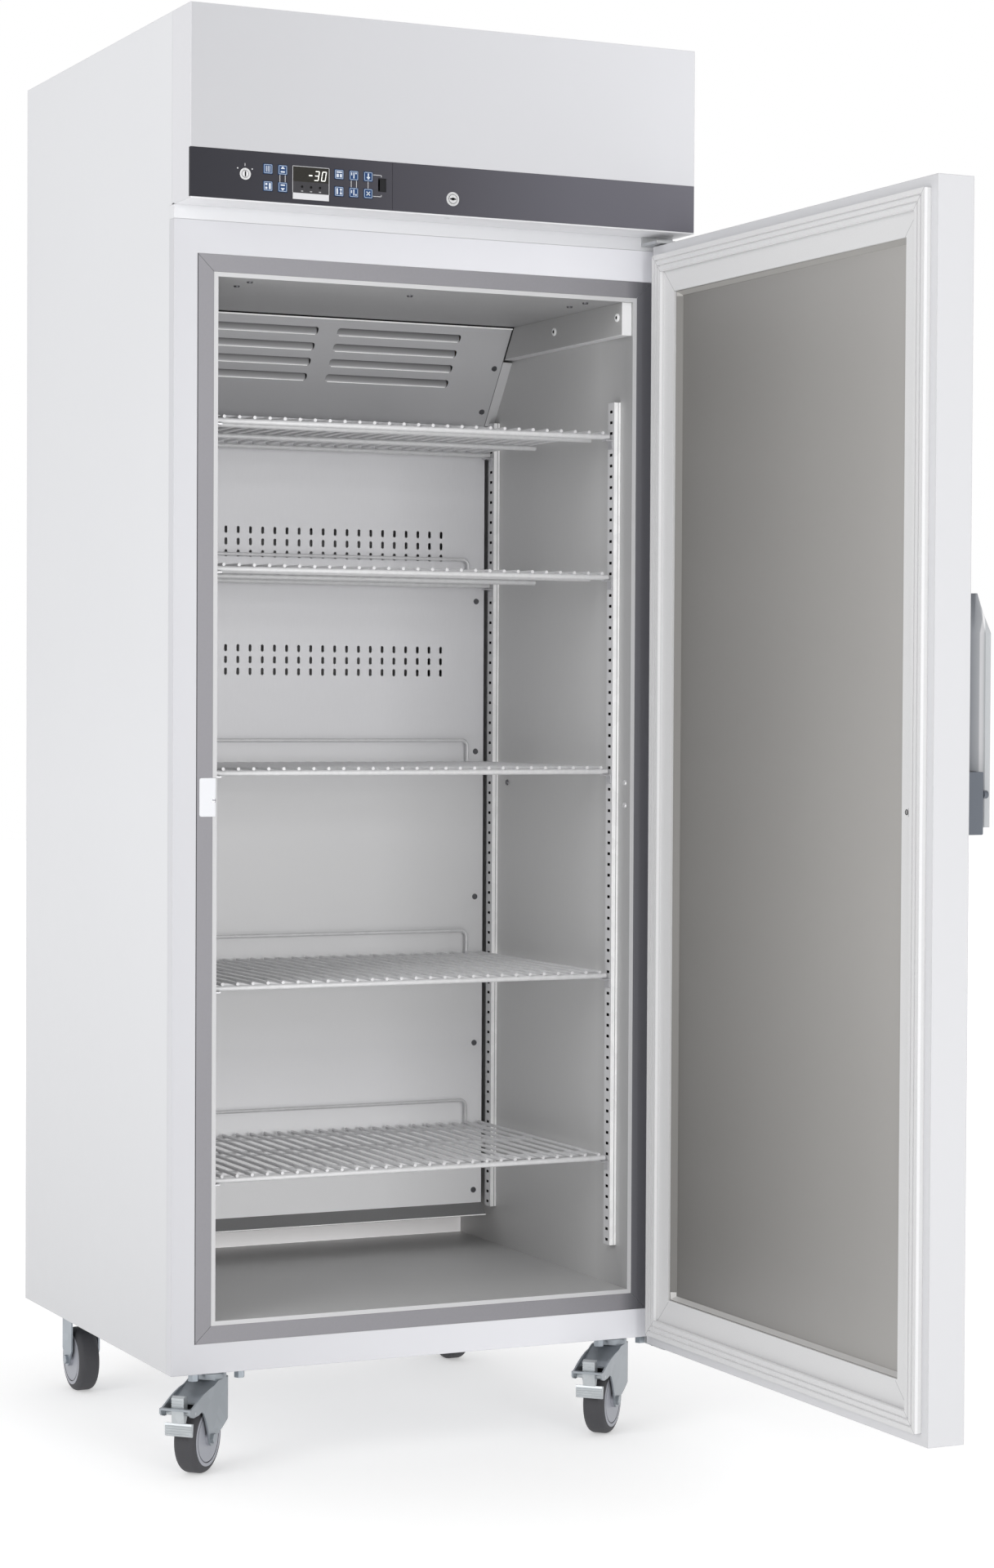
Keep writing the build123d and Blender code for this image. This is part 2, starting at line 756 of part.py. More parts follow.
with BuildPart() as handle_grip:
    shoulder = grip_section(grip_shoulder, grip_reach - grip_lip, grip_reach)
    extrude(shoulder, amount=grip_bottom - grip_shoulder)
    loft([shoulder, grip_section(handle_top, slope_lip, slope_reach)])
    door_slab(handle_side - lock_block_width - rest_gap, handle_side + 1, door_thickness,
              door_thickness + lock_block_reach + rest_gap, grip_bottom - 1,
              lock_block_top + rest_gap, mode=Mode.SUBTRACT)

handle_grip.part.label = "handle_grip"
export_step(handle_grip.part, "parts/handle_grip.step")


# Lock block: the dark housing in the foot of the scoop, with the sleeve that guides the bolt
with BuildPart() as lock_block:
    door_slab(handle_side - lock_block_width, handle_side, door_thickness,
              door_thickness + lock_block_reach, lock_block_bottom, lock_block_top)
    fillet(faces().sort_by(Axis.X)[-1].edges(), radius=4)
    door_rod(lock_bolt_place, lock_bolt_height, door_thickness + 5, lock_sleeve_diameter,
             door_thickness + 5 - dish_wall - seam)
    door_rod(lock_bolt_place, lock_bolt_height, lock_bolt_length + 8, lock_bolt_diameter + 2 * bolt_gap,
             lock_bolt_length + 8, mode=Mode.SUBTRACT)
    door_rod(lock_knob_place, lock_knob_height, door_thickness + lock_block_reach + 1,
             lock_spindle_diameter + 2 * turning_gap, lock_spindle_length + 1.5, mode=Mode.SUBTRACT)

lock_block.part.label = "lock_block"
export_step(lock_block.part, "parts/lock_block.step")


# Lock knob and the bolt that it drives through the door
with BuildPart() as handle_lock_knob:
    knob_face = door_thickness + lock_block_reach + seam
    door_rod(lock_knob_place, lock_knob_height, knob_face + lock_knob_reach, lock_knob_diameter,
             lock_knob_reach)
    fillet(faces().sort_by(Axis.X)[-1].edges(), radius=1.2)
    door_rod(lock_knob_place, lock_knob_height, knob_face, lock_spindle_diameter, lock_spindle_length)

handle_lock_knob.part.label = "handle_lock_knob"
export_step(handle_lock_knob.part, "parts/handle_lock_knob.step")

with BuildPart() as handle_lock_bolt:
    door_rod(lock_bolt_place, lock_bolt_height, lock_bolt_length + 1, lock_bolt_diameter, lock_bolt_length)
    chamfer(faces().sort_by(Axis.X)[0].edges(), length=0.6)

handle_lock_bolt.part.label = "handle_lock_bolt"
export_step(handle_lock_bolt.part, "parts/handle_lock_bolt.step")


# Hinge bushes in the door, and the brackets with their pins on the cabinet
hinge_running_gap = 0.5

with BuildPart() as hinge_bushes:
    for end, inward in ((door_bottom, 1), (door_top, -1)):
        for plane_height, diameter, length in ((end - inward * hinge_flange, hinge_flange_diameter,
                                                inward * hinge_flange),
                                               (end, hinge_bush_diameter, inward * hinge_bush_length)):
            with BuildSketch(door_level(plane_height)):
                with Locations((hinge_inset, hinge_depth)):
                    Circle(diameter / 2)
                    Circle(hinge_pin_diameter / 2 + pin_fit, mode=Mode.SUBTRACT)
            extrude(amount=length)

hinge_bushes.part.label = "hinge_bushes"
export_step(hinge_bushes.part, "parts/hinge_bushes.step")

with BuildPart() as hinge_brackets:
    plate_left = hinge_x - hinge_plate_width + hinge_plate_reach
    plate_right = hinge_x + hinge_plate_reach
    plate_front = hinge_y - hinge_plate_reach
    upper = up(door_top + hinge_flange + hinge_running_gap)
    lower = up(door_bottom - hinge_flange - hinge_running_gap)
    slab(plate_left, plate_right, plate_front, 0, upper, upper + hinge_plate)
    slab(plate_left, plate_right, -hinge_plate, 0, upper, up(header_underside) - seam)
    slab(hinge_x - hinge_foot_reach, plate_right, plate_front, 14, lower - hinge_plate, lower)
    slab(hinge_x - hinge_foot_reach, plate_right, 0, 14, lower, up(0))
    for height, length in ((upper, hinge_flange - hinge_bush_length), (lower, hinge_bush_length - hinge_flange)):
        rod(Plane(origin=(hinge_x, hinge_y, height), z_dir=(0, 0, 1)), hinge_pin_diameter, length)

hinge_brackets.part.label = "hinge_brackets"
export_step(hinge_brackets.part, "parts/hinge_brackets.step")


# Evaporator cover: a sloped sheet under the ceiling with two columns of louvres
def slope_point(place, depth):
    """Y and Z of a point down the cover's slope and behind its face."""
    return (cover_top_y + place * slope_y + depth * slope_z,
            up(cavity_ceiling) - place * slope_z + depth * slope_y)


def slope_plane(place, depth):
    """Plane along the cover, X across and Y up the slope, facing the room."""
    y, z = slope_point(place, depth)
    return Plane(origin=(0, y, z), x_dir=(1, 0, 0), z_dir=(0, -slope_z, -slope_y))


vane_depth = 9.0
louvre_corner = 5.0
rail_half = cavity_half_width - rail_width

with BuildPart() as evaporator_cover:
    wing_start = (cavity_ceiling - rail_bottom + cover_lip_gap) / slope_z + 2
    with BuildSketch(slope_plane(0, 0)):
        with Locations((0, -(cover_lip_gap + slope_length) / 2)):
            Rectangle(2 * (rail_half - 3 * seam), slope_length - cover_lip_gap)
        with Locations((0, -(wing_start + slope_length) / 2)):
            Rectangle(2 * (cavity_half_width - seam), slope_length - wing_start)
        for start in louvre_starts:
            for side in (-1, 1):
                middle = side * (louvre_inner_x + louvre_outer_x) / 2
                with Locations((middle, -start - louvre_height / 2)):
                    RectangleRounded(louvre_outer_x - louvre_inner_x, louvre_height, louvre_corner,
                                     mode=Mode.SUBTRACT)
    extrude(amount=-duct_sheet)
    for start in louvre_starts:
        end = start + louvre_height
        corners = [slope_point(*point) for point in ((end + 1, seam), (end + 1, duct_sheet), (end, duct_sheet + 1),
                                                     (start, vane_depth), (start - 0.8, vane_depth - 0.8))]
        for left in (-louvre_outer_x + 1, louvre_inner_x + 1):
            with BuildSketch(Plane.YZ.offset(left)):
                with BuildLine():
                    Polyline(*corners, close=True)
                make_face()
            extrude(amount=louvre_outer_x - louvre_inner_x - 2)

evaporator_cover.part.label = "evaporator_cover"
export_step(evaporator_cover.part, "parts/evaporator_cover.step")


# Air duct panel: the slotted rear sheet, returned to the rear wall at both sides, with a bottom lip
with BuildPart() as air_duct_panel:
    lip_run = duct_face - duct_lip_y
    lip_drop = duct_bottom - duct_lip_height
    lip = hypot(lip_run, lip_drop)
    with BuildSketch(Plane.YZ.offset(-duct_half_width)):
        with BuildLine():
            Polyline((duct_face, up(duct_top) - 2 * seam), (duct_face, up(duct_bottom)),
                     (duct_lip_y, up(duct_lip_height)),
                     (duct_lip_y + duct_sheet * lip_drop / lip, up(duct_lip_height) - duct_sheet * lip_run / lip),
                     (duct_face + duct_sheet, up(duct_bottom) - duct_sheet * lip_drop / (lip + lip_run)),
                     (duct_face + duct_sheet, up(duct_top) - 2 * seam), close=True)
        make_face()
    extrude(amount=2 * duct_half_width)
    for side in (-1, 1):
        outer = side * duct_half_width
        inner = side * (duct_half_width - duct_sheet)
        slab(min(outer, inner), max(outer, inner), duct_face, cavity_rear - seam,
             up(duct_bottom), up(duct_top) - 2 * seam)
    with BuildSketch(facing(duct_face - 1)):
        for band in slot_bands:
            with Locations((0, up(band))):
                with GridLocations(slot_pitch_x, slot_pitch_z, slot_columns, slot_rows):
                    SlotOverall(slot_length, slot_width, rotation=90)
    extrude(amount=-duct_sheet - 2, mode=Mode.SUBTRACT)

air_duct_panel.part.label = "air_duct_panel"
export_step(air_duct_panel.part, "parts/air_duct_panel.step")


# Pilasters: four slotted channels that carry the shelf clips
pilaster_face = cavity_half_width - pilaster_depth

with BuildPart() as pilasters:
    for side in (-1, 1):
        for front_edge in (pilaster_front, pilaster_rear):
            wall = side * (cavity_half_width - seam)
            face = side * pilaster_face
            inner = side * (pilaster_face + steel)
            slab(min(wall, face), max(wall, face), front_edge, front_edge + pilaster_width,
                 up(pilaster_bottom), up(pilaster_top))
            slab(min(wall + side, inner), max(wall + side, inner), front_edge + steel,
                 front_edge + pilaster_width - steel, up(pilaster_bottom) - 1, up(pilaster_top) + 1,
                 mode=Mode.SUBTRACT)
    middle = up(pilaster_first_slot + (pilaster_slots - 1) * pilaster_pitch / 2)
    with BuildSketch(Plane.YZ.offset(-pilaster_face - 2 * steel)):
        for front_edge in (pilaster_front, pilaster_rear):
            with Locations((front_edge + pilaster_width / 2, middle)):
                with GridLocations(1, pilaster_pitch, 1, pilaster_slots):
                    Rectangle(pilaster_slot_width, pilaster_slot_height)
    extrude(amount=2 * (pilaster_face + 2 * steel), mode=Mode.SUBTRACT)

pilasters.part.label = "pilasters"
export_step(pilasters.part, "parts/pilasters.step")


# Side rails: closed box sections in both upper corners
with BuildPart() as side_rails:
    for side in (-1, 1):
        wall = side * (cavity_half_width - seam)
        face = side * rail_half
        front = rail_front if side > 0 else left_rail_front
        slab(min(wall, face), max(wall, face), front, rail_rear, up(rail_bottom), up(cavity_ceiling) - seam)
        slab(min(wall - side * steel, face + side * steel), max(wall - side * steel, face + side * steel),
             front + steel, rail_rear + 1, up(rail_bottom) + steel, up(cavity_ceiling) - seam - steel,
             mode=Mode.SUBTRACT)

side_rails.part.label = "side_rails"
export_step(side_rails.part, "parts/side_rails.step")


# Shelf clips: hooked into the pilasters' slots, four under each shelf
clip_half = 7.0
clip_reach = 11.0
clip_steel = 1.4
clip_seat = 2.0


def shelf_level(slot):
    """Height of the middle of a shelf's bars when its clips hang in a slot."""
    return pilaster_first_slot + slot * pilaster_pitch + clip_rise


with BuildPart() as shelf_clips:
    clip_face = pilaster_face - rest_gap
    for slot in shelf_slots:
        hook = up(pilaster_first_slot + slot * pilaster_pitch)
        seat = up(shelf_level(slot)) - shelf_bar / 2 - rest_gap
        for side in (-1, 1):
            for front_edge in (pilaster_front, pilaster_rear):
                y = front_edge + pilaster_width / 2
                for near, far, half, bottom, top in (
                        (clip_face - clip_steel, clip_face, clip_half, hook - clip_half, seat),
                        (clip_face - clip_reach, clip_face, clip_half, seat - clip_seat, seat),
                        (clip_face - clip_steel, pilaster_face + 2 * steel,
                         pilaster_slot_width / 2 - bolt_gap, hook - 1.6, hook + 1.6)):
                    slab(min(side * near, side * far), max(side * near, side * far), y - half, y + half,
                         bottom, top)

shelf_clips.part.label = "shelf_clips"
export_step(shelf_clips.part, "parts/shelf_clips.step")


# Wire shelves: round bars across, wires from front to rear on top of them, and a raised stop behind
wire_bite = 0.5
weld_gap = 0.1
stop_corner = 9.0
wire_rise = shelf_bar / 2 + shelf_wire / 2 - wire_bite

with BuildPart() as shelf_form:
    for y in (shelf_front, *shelf_cross_bars, shelf_rear):
        rod(Plane(origin=(-shelf_half_width, y, 0), z_dir=(1, 0, 0)), shelf_bar, 2 * shelf_half_width)
    with BuildSketch(facing(shelf_front - shelf_bar / 2)):
        with Locations((0, wire_rise)):
            with GridLocations(shelf_wire_pitch, 1, shelf_wires, 1):
                Circle(shelf_wire / 2)
    extrude(amount=shelf_front - shelf_rear - shelf_bar)
    stop_foot = -shelf_bar / 2
    with BuildLine(facing(shelf_rear + shelf_bar / 2 + shelf_stop_wire / 2 + weld_gap)) as stop_path:
        FilletPolyline((-shelf_stop_half_width, stop_foot), (-shelf_stop_half_width, shelf_stop_height),
                       (shelf_stop_half_width, shelf_stop_height), (shelf_stop_half_width, stop_foot),
                       radius=stop_corner)
    with BuildSketch(Plane(origin=stop_path.line @ 0, z_dir=stop_path.line % 0)):
        Circle(shelf_stop_wire / 2)
    sweep()

for number, slot in enumerate(shelf_slots, 1):
    shelf = shelf_form.part.moved(Location((0, 0, up(shelf_level(slot)))))
    shelf.label = f"shelf_{number}"
    export_step(shelf, f"parts/shelf_{number}.step")


# Castors: swivelling in front with brake pedals, fixed at the rear
trail_share = sqrt(0.5)
core_gap = 0.1
axle_gap = 0.15
tyre_corner = 8.5
head_plate = 4.0
axle_height = wheel_diameter / 2
leg_end = 10.0


def castor_level(x, y, forward, height):
    """Level plane at a castor's mounting, X along its trail."""
    return Plane(origin=(x, y, height), x_dir=forward, z_dir=(0, 0, 1))


def castor_side(x, y, forward, offset):
    """Upright plane along a castor's trail, X along it and Y up, beside its middle plane."""
    normal = (forward[1], -forward[0], 0)
    return Plane(origin=(x, y, 0), x_dir=forward, z_dir=normal).offset(offset)


def castor_bar(x, y, forward, points, half):
    """Solid across a castor from an outline in its side plane."""
    with BuildSketch(castor_side(x, y, forward, -half)) as form:
        with BuildLine():
            Polyline(*points, close=True)
        make_face()
    extrude(form.sketch, amount=2 * half)


def axle_bolt(x, y, forward, trail):
    """Axle with six-sided nuts outside the fork's legs."""
    reach = fork_gap + fork_steel + core_gap
    for start in (-reach - axle_nut_height, reach):
        with BuildSketch(castor_side(x, y, forward, start)) as form:
            with Locations((trail, axle_height)):
                RegularPolygon(axle_nut, 6)
        extrude(form.sketch, amount=axle_nut_height)
    with BuildSketch(castor_side(x, y, forward, -reach)) as form:
        with Locations((trail, axle_height)):
            Circle(axle_diameter / 2)
    extrude(form.sketch, amount=2 * reach)


def leg_face(x, y, forward, offset, outline, trail):
    """Face of a leg beside the middle plane, rounded at the axle and with the axle's hole."""
    with BuildSketch(castor_side(x, y, forward, offset)) as form:
        with BuildLine():
            Polyline(*outline, close=True)
        make_face()
        with Locations((trail, axle_height)):
            Circle(leg_end)
            Circle(axle_diameter / 2 + core_gap, mode=Mode.SUBTRACT)
    return form.sketch


def wheel_form(x, y, forward, trail):
    """Tyre and core of one wheel, as two solids."""
    with BuildSketch(castor_side(x, y, forward, -wheel_tread / 2)) as form:
        with Locations((trail, axle_height)):
            Circle(wheel_diameter / 2)
            Circle(wheel_disc / 2, mode=Mode.SUBTRACT)
    extrude(form.sketch, amount=wheel_tread)
    treads = [edge for edge in edges().filter_by(GeomType.CIRCLE) if edge.radius > wheel_disc / 2 + 1]
    fillet(treads, radius=tyre_corner)
    core_half = fork_gap - rest_gap
    disc_half = wheel_tread / 2 + 0.5
    for half, outer in ((disc_half, wheel_disc / 2 - core_gap), (core_half, axle_diameter)):
        with BuildSketch(castor_side(x, y, forward, -half)) as form:
            with Locations((trail, axle_height)):
                Circle(outer)
                Circle(axle_diameter / 2 + axle_gap, mode=Mode.SUBTRACT)
        extrude(form.sketch, amount=2 * half)
    for start in (-disc_half, disc_half - wheel_groove):
        with BuildSketch(castor_side(x, y, forward, start)) as form:
            with Locations((trail, axle_height)):
                Circle(wheel_ring / 2)
                Circle(wheel_ring / 2 - wheel_groove, mode=Mode.SUBTRACT)
        extrude(form.sketch, amount=wheel_groove, mode=Mode.SUBTRACT)


front_forward = (-trail_share, -trail_share, 0)
rear_forward = (0, 1, 0)
crown_top = crown_height + crown_steel
swivel_top = castor_height - head_plate - rest_gap
fork_half = fork_gap + fork_steel
front_leg = ((-crown_back, crown_top), (crown_front, crown_top), (34, 117.5), (50, 115.5), (66, 112),
             (82, 107), (96, 101.5), (103, strap_height + strap_steel), (fork_length, strap_height + strap_steel),
             (fork_length, 92), (106, 88.5), (98, 86.5), (82, 87), (73, 89.5), (66, 86), (58, 74), (52, 60),
             (castor_trail + leg_end, axle_height), (castor_trail - leg_end, axle_height), (22, 50), (6, 56),
             (-12, 65), (-crown_back, 74))
rear_leg = ((-21, castor_height), (21, castor_height), (21, 62), (leg_end, axle_height),
            (-leg_end, axle_height), (-21, 62))

with BuildPart() as castor_frames:
    for side in (-1, 1):
        x = side * castor_x
        disc = castor_level(x, front_castor_y, front_forward, castor_height)
        rod(disc, swivel_diameter - 2, -head_plate)
        rod(disc, kingpin_diameter, crown_height - 5 - castor_height)
        rod(disc.offset(crown_height - 5 - castor_height), 1.6 * kingpin_diameter, 4.5)
        with BuildSketch(Plane(origin=(x, front_castor_y, castor_height))):
            with GridLocations(2 * plate_bolt_x, 2 * plate_bolt_y, 2, 2):
                RegularPolygon(plate_bolt_head, 6)
        extrude(amount=-plate_bolt_height)
        with BuildSketch(castor_level(x, rear_castor_y, rear_forward, castor_height)):
            Rectangle(90, 80)
        extrude(amount=-head_plate)
        for offset in (-fork_half, fork_gap):
            leg = leg_face(x, rear_castor_y, rear_forward, offset, rear_leg, 0)
            extrude(leg, amount=fork_steel)
        axle_bolt(x, rear_castor_y, rear_forward, 0)

castor_frames.part.label = "castor_frames"
export_step(castor_frames.part, "parts/castor_frames.step")

pedal_ribs = 4
lobe_ribs = 3
rib_pitch = 3.4
rib_depth = 1.2
rib_width = 1.5

for name, side in (("left", -1), ("right", 1)):
    x = side * castor_x
    y = front_castor_y
    with BuildPart() as fork:
        with BuildSketch(castor_level(x, y, front_forward, axle_height - leg_end - 1)):
            for spare, half in ((0, fork_half), (fork_steel, fork_gap)):
                with Locations(((fork_length - crown_back) / 2 + spare, 0)):
                    RectangleRounded(fork_length + crown_back, 2 * half, crown_corner - spare,
                                     mode=Mode.SUBTRACT if spare else Mode.ADD)
            with Locations((fork_length, 0)):
                Rectangle(2 * crown_corner, 2 * fork_half, mode=Mode.SUBTRACT)
            for across in (-fork_half + fork_steel / 2, fork_half - fork_steel / 2):
                with Locations((fork_length - crown_corner / 2, across)):
                    Rectangle(crown_corner, fork_steel)
        extrude(amount=crown_top - axle_height + leg_end + 1)
        legs = leg_face(x, y, front_forward, -fork_half - 1, front_leg, castor_trail)
        extrude(legs, amount=2 * fork_half + 2, mode=Mode.INTERSECT)
        with BuildSketch(castor_level(x, y, front_forward, crown_height)):
            with Locations(((crown_front - crown_back + fork_steel) / 2, 0)):
                RectangleRounded(crown_front + crown_back - fork_steel, 2 * fork_gap, crown_corner - fork_steel)
            with Locations((crown_front / 2, 0)):
                Rectangle(crown_front, 2 * fork_gap)
        extrude(amount=crown_steel)
        castor_bar(x, y, front_forward, ((crown_front - 2, crown_top), (66, 107), (78, 102), (77, 99.5),
                                         (65, 104.5), (crown_front - 2, crown_height)), fork_gap)
        castor_bar(x, y, front_forward, ((fork_length - strap_depth, strap_height),
                                         (fork_length - strap_depth, strap_height + strap_steel),
                                         (fork_length, strap_height + strap_steel),
                                         (fork_length, strap_height)), fork_gap)
        rod(castor_level(x, y, front_forward, crown_top), swivel_diameter, swivel_top - crown_top)
        with BuildSketch(castor_side(x, y, front_forward, -fork_half - 1)):
            with Locations((pedal_pivot, pedal_pivot_height)):
                Circle(pedal_pin_diameter / 2 + core_gap)
        extrude(amount=2 * (fork_half + 1), mode=Mode.SUBTRACT)
        rod(castor_level(x, y, front_forward, crown_height - 1),
            kingpin_diameter + 4 * core_gap, swivel_top - crown_height + 2, mode=Mode.SUBTRACT)
        axle_bolt(x, y, front_forward, castor_trail)
    fork.part.label = f"castor_fork_{name}"
    export_step(fork.part, f"parts/castor_fork_{name}.step")

    with BuildPart() as pedal:
        for half, radius in ((fork_gap - rest_gap, pedal_pin_diameter), (fork_half, pedal_pin_diameter / 2)):
            with BuildSketch(castor_side(x, y, front_forward, -half)):
                with Locations((pedal_pivot, pedal_pivot_height)):
                    Circle(radius)
            extrude(amount=2 * half)
        castor_bar(x, y, front_forward, (
            (pedal_pivot - 3, pedal_pivot_height - 3), (pedal_pivot - 3, pedal_lobe_height - 6),
            (pedal_pivot, pedal_lobe_height - 1), (pedal_lobe_front - 4, pedal_lobe_height),
            (pedal_lobe_front, pedal_lobe_height - 3), (pedal_lobe_front, strap_height - 1),
            (pedal_front, pedal_top), (pedal_front - pedal_steel, pedal_top - 2)), pedal_link_half_width)
        castor_bar(x, y, front_forward, (
            (pedal_front - pedal_steel - 2, pedal_top - 1), (pedal_front - 1, pedal_top),
            (pedal_front, pedal_top - 3), (pedal_front, pedal_bottom + 2), (pedal_front - 2, pedal_bottom),
            (pedal_front - pedal_steel, pedal_bottom)), pedal_half_width)
        for ribs, front, top, half in (
                (pedal_ribs, pedal_front, pedal_top - 4, pedal_half_width),
                (lobe_ribs, pedal_lobe_front, pedal_lobe_height - 6.5, pedal_link_half_width)):
            for rib in range(ribs):
                with BuildSketch(castor_side(x, y, front_forward, -half - 1)):
                    with Locations((front, top - rib_pitch * rib)):
                        Rectangle(2 * rib_depth, rib_width)
                extrude(amount=2 * half + 2, mode=Mode.SUBTRACT)
    pedal.part.label = f"brake_pedal_{name}"
    export_step(pedal.part, f"parts/brake_pedal_{name}.step")

for end, y, forward, trail in (("front", front_castor_y, front_forward, castor_trail),
                               ("rear", rear_castor_y, rear_forward, 0)):
    for name, side in (("left", -1), ("right", 1)):
        with BuildPart() as wheel:
            wheel_form(side * castor_x, y, forward, trail)
        wheel.part.label = f"wheel_{end}_{name}"
        export_step(wheel.part, f"parts/wheel_{end}_{name}.step")


# Heat exchangers: finned blocks with straight tubes between two end plates
def finned_block(left, right, front, rear, bottom, top, plate_top, fins, tube_rows):
    """Fins, two end plates that reach to the mounting face, and the tubes through them."""
    pitch = (right - left - 2 * duct_sheet) / (fins + 1)
    with BuildSketch(Plane.XY.offset(bottom)) as form:
        with Locations(((left + right) / 2, (front + rear) / 2)):
            with GridLocations(pitch, 1, fins, 1):
                Rectangle(0.8, rear - front)
    extrude(form.sketch, amount=top - bottom)
    for near, far in ((left, left + duct_sheet), (right - duct_sheet, right)):
        slab(near, far, front, rear, bottom, plate_top)
    with BuildSketch(Plane.YZ.offset(left)) as form:
        with Locations(((front + rear) / 2, (bottom + top) / 2)):
            with GridLocations((rear - front) / 2, (top - bottom) / tube_rows, 2, tube_rows):
                Circle(coil_tube / 2)
    extrude(form.sketch, amount=right - left)


with BuildPart() as evaporator_coil:
    finned_block(-coil_half_width, coil_half_width, coil_front, coil_rear, up(coil_bottom), up(coil_top),
                 up(cavity_ceiling) - seam, coil_fins, 4)

evaporator_coil.part.label = "evaporator_coil"
export_step(evaporator_coil.part, "parts/evaporator_coil.step")

with BuildPart() as condenser_coil:
    finned_block(condenser_left, condenser_right, condenser_front, condenser_rear, up(deck_top),
                 up(condenser_top), up(condenser_top), condenser_fins, 8)

condenser_coil.part.label = "condenser_coil"
export_step(condenser_coil.part, "parts/condenser_coil.step")


# Fans: hubs with pitched blades, and the motors that carry them
shaft_diameter = 6.0
shaft_seat = 12.0
blade_steel = 2.0
blade_pitch = 30.0
motor_gap = 0.3
evaporator_motor_diameter = 50.0
evaporator_motor_length = 24.0
condenser_motor_diameter = 70.0
condenser_motor_length = 48.0
strap_half = 80.0
condenser_fan_gap = 10.0


def fan_form(plane, diameter, hub, blades, chord):
    """Hub behind a plane, bored for its shaft, with blades pitched about their own length."""
    tip = sqrt((diameter / 2) ** 2 - (chord / 2 * cos(radians(blade_pitch))) ** 2)
    with BuildSketch(plane) as form:
        Circle(hub / 2)
    extrude(form.sketch, amount=-fan_thickness)
    for number in range(blades):
        turn = Location((0, 0, -fan_thickness / 2), (0, 0, 360 * number / blades))
        blade = Plane(plane.location * turn * Rotation(blade_pitch, 0, 0))
        with BuildSketch(blade) as form:
            with Locations(((hub / 2 - 3 + tip) / 2, 0)):
                Rectangle(tip - hub / 2 + 3, chord)
        extrude(form.sketch, amount=blade_steel / 2, both=True)
    with BuildSketch(plane.offset(-fan_thickness)) as form:
        Circle(shaft_diameter / 2 + turning_gap)
    extrude(form.sketch, amount=shaft_seat, mode=Mode.SUBTRACT)


def motor_form(plane, diameter, length):
    """Motor behind a plane, with the shaft that reaches forward into the fan."""
    with BuildSketch(plane.offset(-motor_gap)) as form:
        Circle(diameter / 2)
    extrude(form.sketch, amount=-length)
    with BuildSketch(plane.offset(-motor_gap)) as form:
        Circle(shaft_diameter / 2)
    extrude(form.sketch, amount=shaft_seat - 1)


evaporator_fan_plane = slope_plane(fan_slope_place, evaporator_fan_depth)
condenser_fan_x = (condenser_left + condenser_right) / 2
condenser_fan_plane = Plane(origin=(condenser_fan_x, condenser_rear + condenser_fan_gap, up(condenser_fan_height)),
                            x_dir=(1, 0, 0), z_dir=(0, -1, 0))

with BuildPart() as evaporator_fan:
    fan_form(evaporator_fan_plane, evaporator_fan_diameter, 40.0, 5, 38.0)

evaporator_fan.part.label = "evaporator_fan"
export_step(evaporator_fan.part, "parts/evaporator_fan.step")

with BuildPart() as condenser_fan:
    fan_form(condenser_fan_plane, condenser_fan_diameter, 56.0, 5, 38.0)

condenser_fan.part.label = "condenser_fan"
export_step(condenser_fan.part, "parts/condenser_fan.step")

with BuildPart() as fan_motors:
    motor_plane = evaporator_fan_plane.offset(-fan_thickness)
    motor_form(motor_plane, evaporator_motor_diameter, evaporator_motor_length)
    strap_depth = evaporator_fan_depth + fan_thickness + motor_gap + evaporator_motor_length
    with BuildSketch(slope_plane(fan_slope_place, strap_depth)):
        Rectangle(2 * strap_half, 10)
    extrude(amount=-2)
    with BuildSketch(slope_plane(fan_slope_place, strap_depth + 1)):
        with Locations((1 - strap_half, 0), (strap_half - 1, 0)):
            Rectangle(2, 8)
    extrude(amount=strap_depth + 1 - duct_sheet)
    motor_plane = condenser_fan_plane.offset(-fan_thickness)
    motor_form(motor_plane, condenser_motor_diameter, condenser_motor_length)
    motor_front = condenser_rear + condenser_fan_gap + fan_thickness
    slab(condenser_fan_x - 18, condenser_fan_x + 18, motor_front + 8, motor_front + 40,
         up(deck_top), up(condenser_fan_height))

fan_motors.part.label = "fan_motors"
export_step(fan_motors.part, "parts/fan_motors.step")


# Compressor: a welded steel can on a foot plate
compressor_clear = 8.0

with BuildPart() as compressor:
    rod(Plane(origin=(compressor_x, compressor_y, up(deck_top) + compressor_clear), z_dir=(0, 0, 1)),
        2 * compressor_radius, compressor_tall)
    fillet(faces().sort_by(Axis.Z)[-1].edges(), radius=36)
    slab(compressor_x - 80, compressor_x + 80, compressor_y - 62, compressor_y + 62,
         up(deck_top) + compressor_clear - 2, up(deck_top) + compressor_clear + 1)
    with BuildSketch(Plane.XY.offset(up(deck_top))):
        with Locations((compressor_x, compressor_y)):
            with GridLocations(130, 98, 2, 2):
                Circle(11)
    extrude(amount=compressor_clear - 1)

compressor.part.label = "compressor"
export_step(compressor.part, "parts/compressor.step")


# Refrigerant pipes: suction, discharge and liquid lines
def pipe(points, diameter):
    """Bent tube along straight runs with round corners."""
    with BuildLine() as route:
        FilletPolyline(*points, radius=2.5 * diameter)
    with BuildSketch(Plane(origin=route.line @ 0, z_dir=route.line % 0)) as form:
        Circle(diameter / 2)
    sweep(form.sketch, path=route.line)


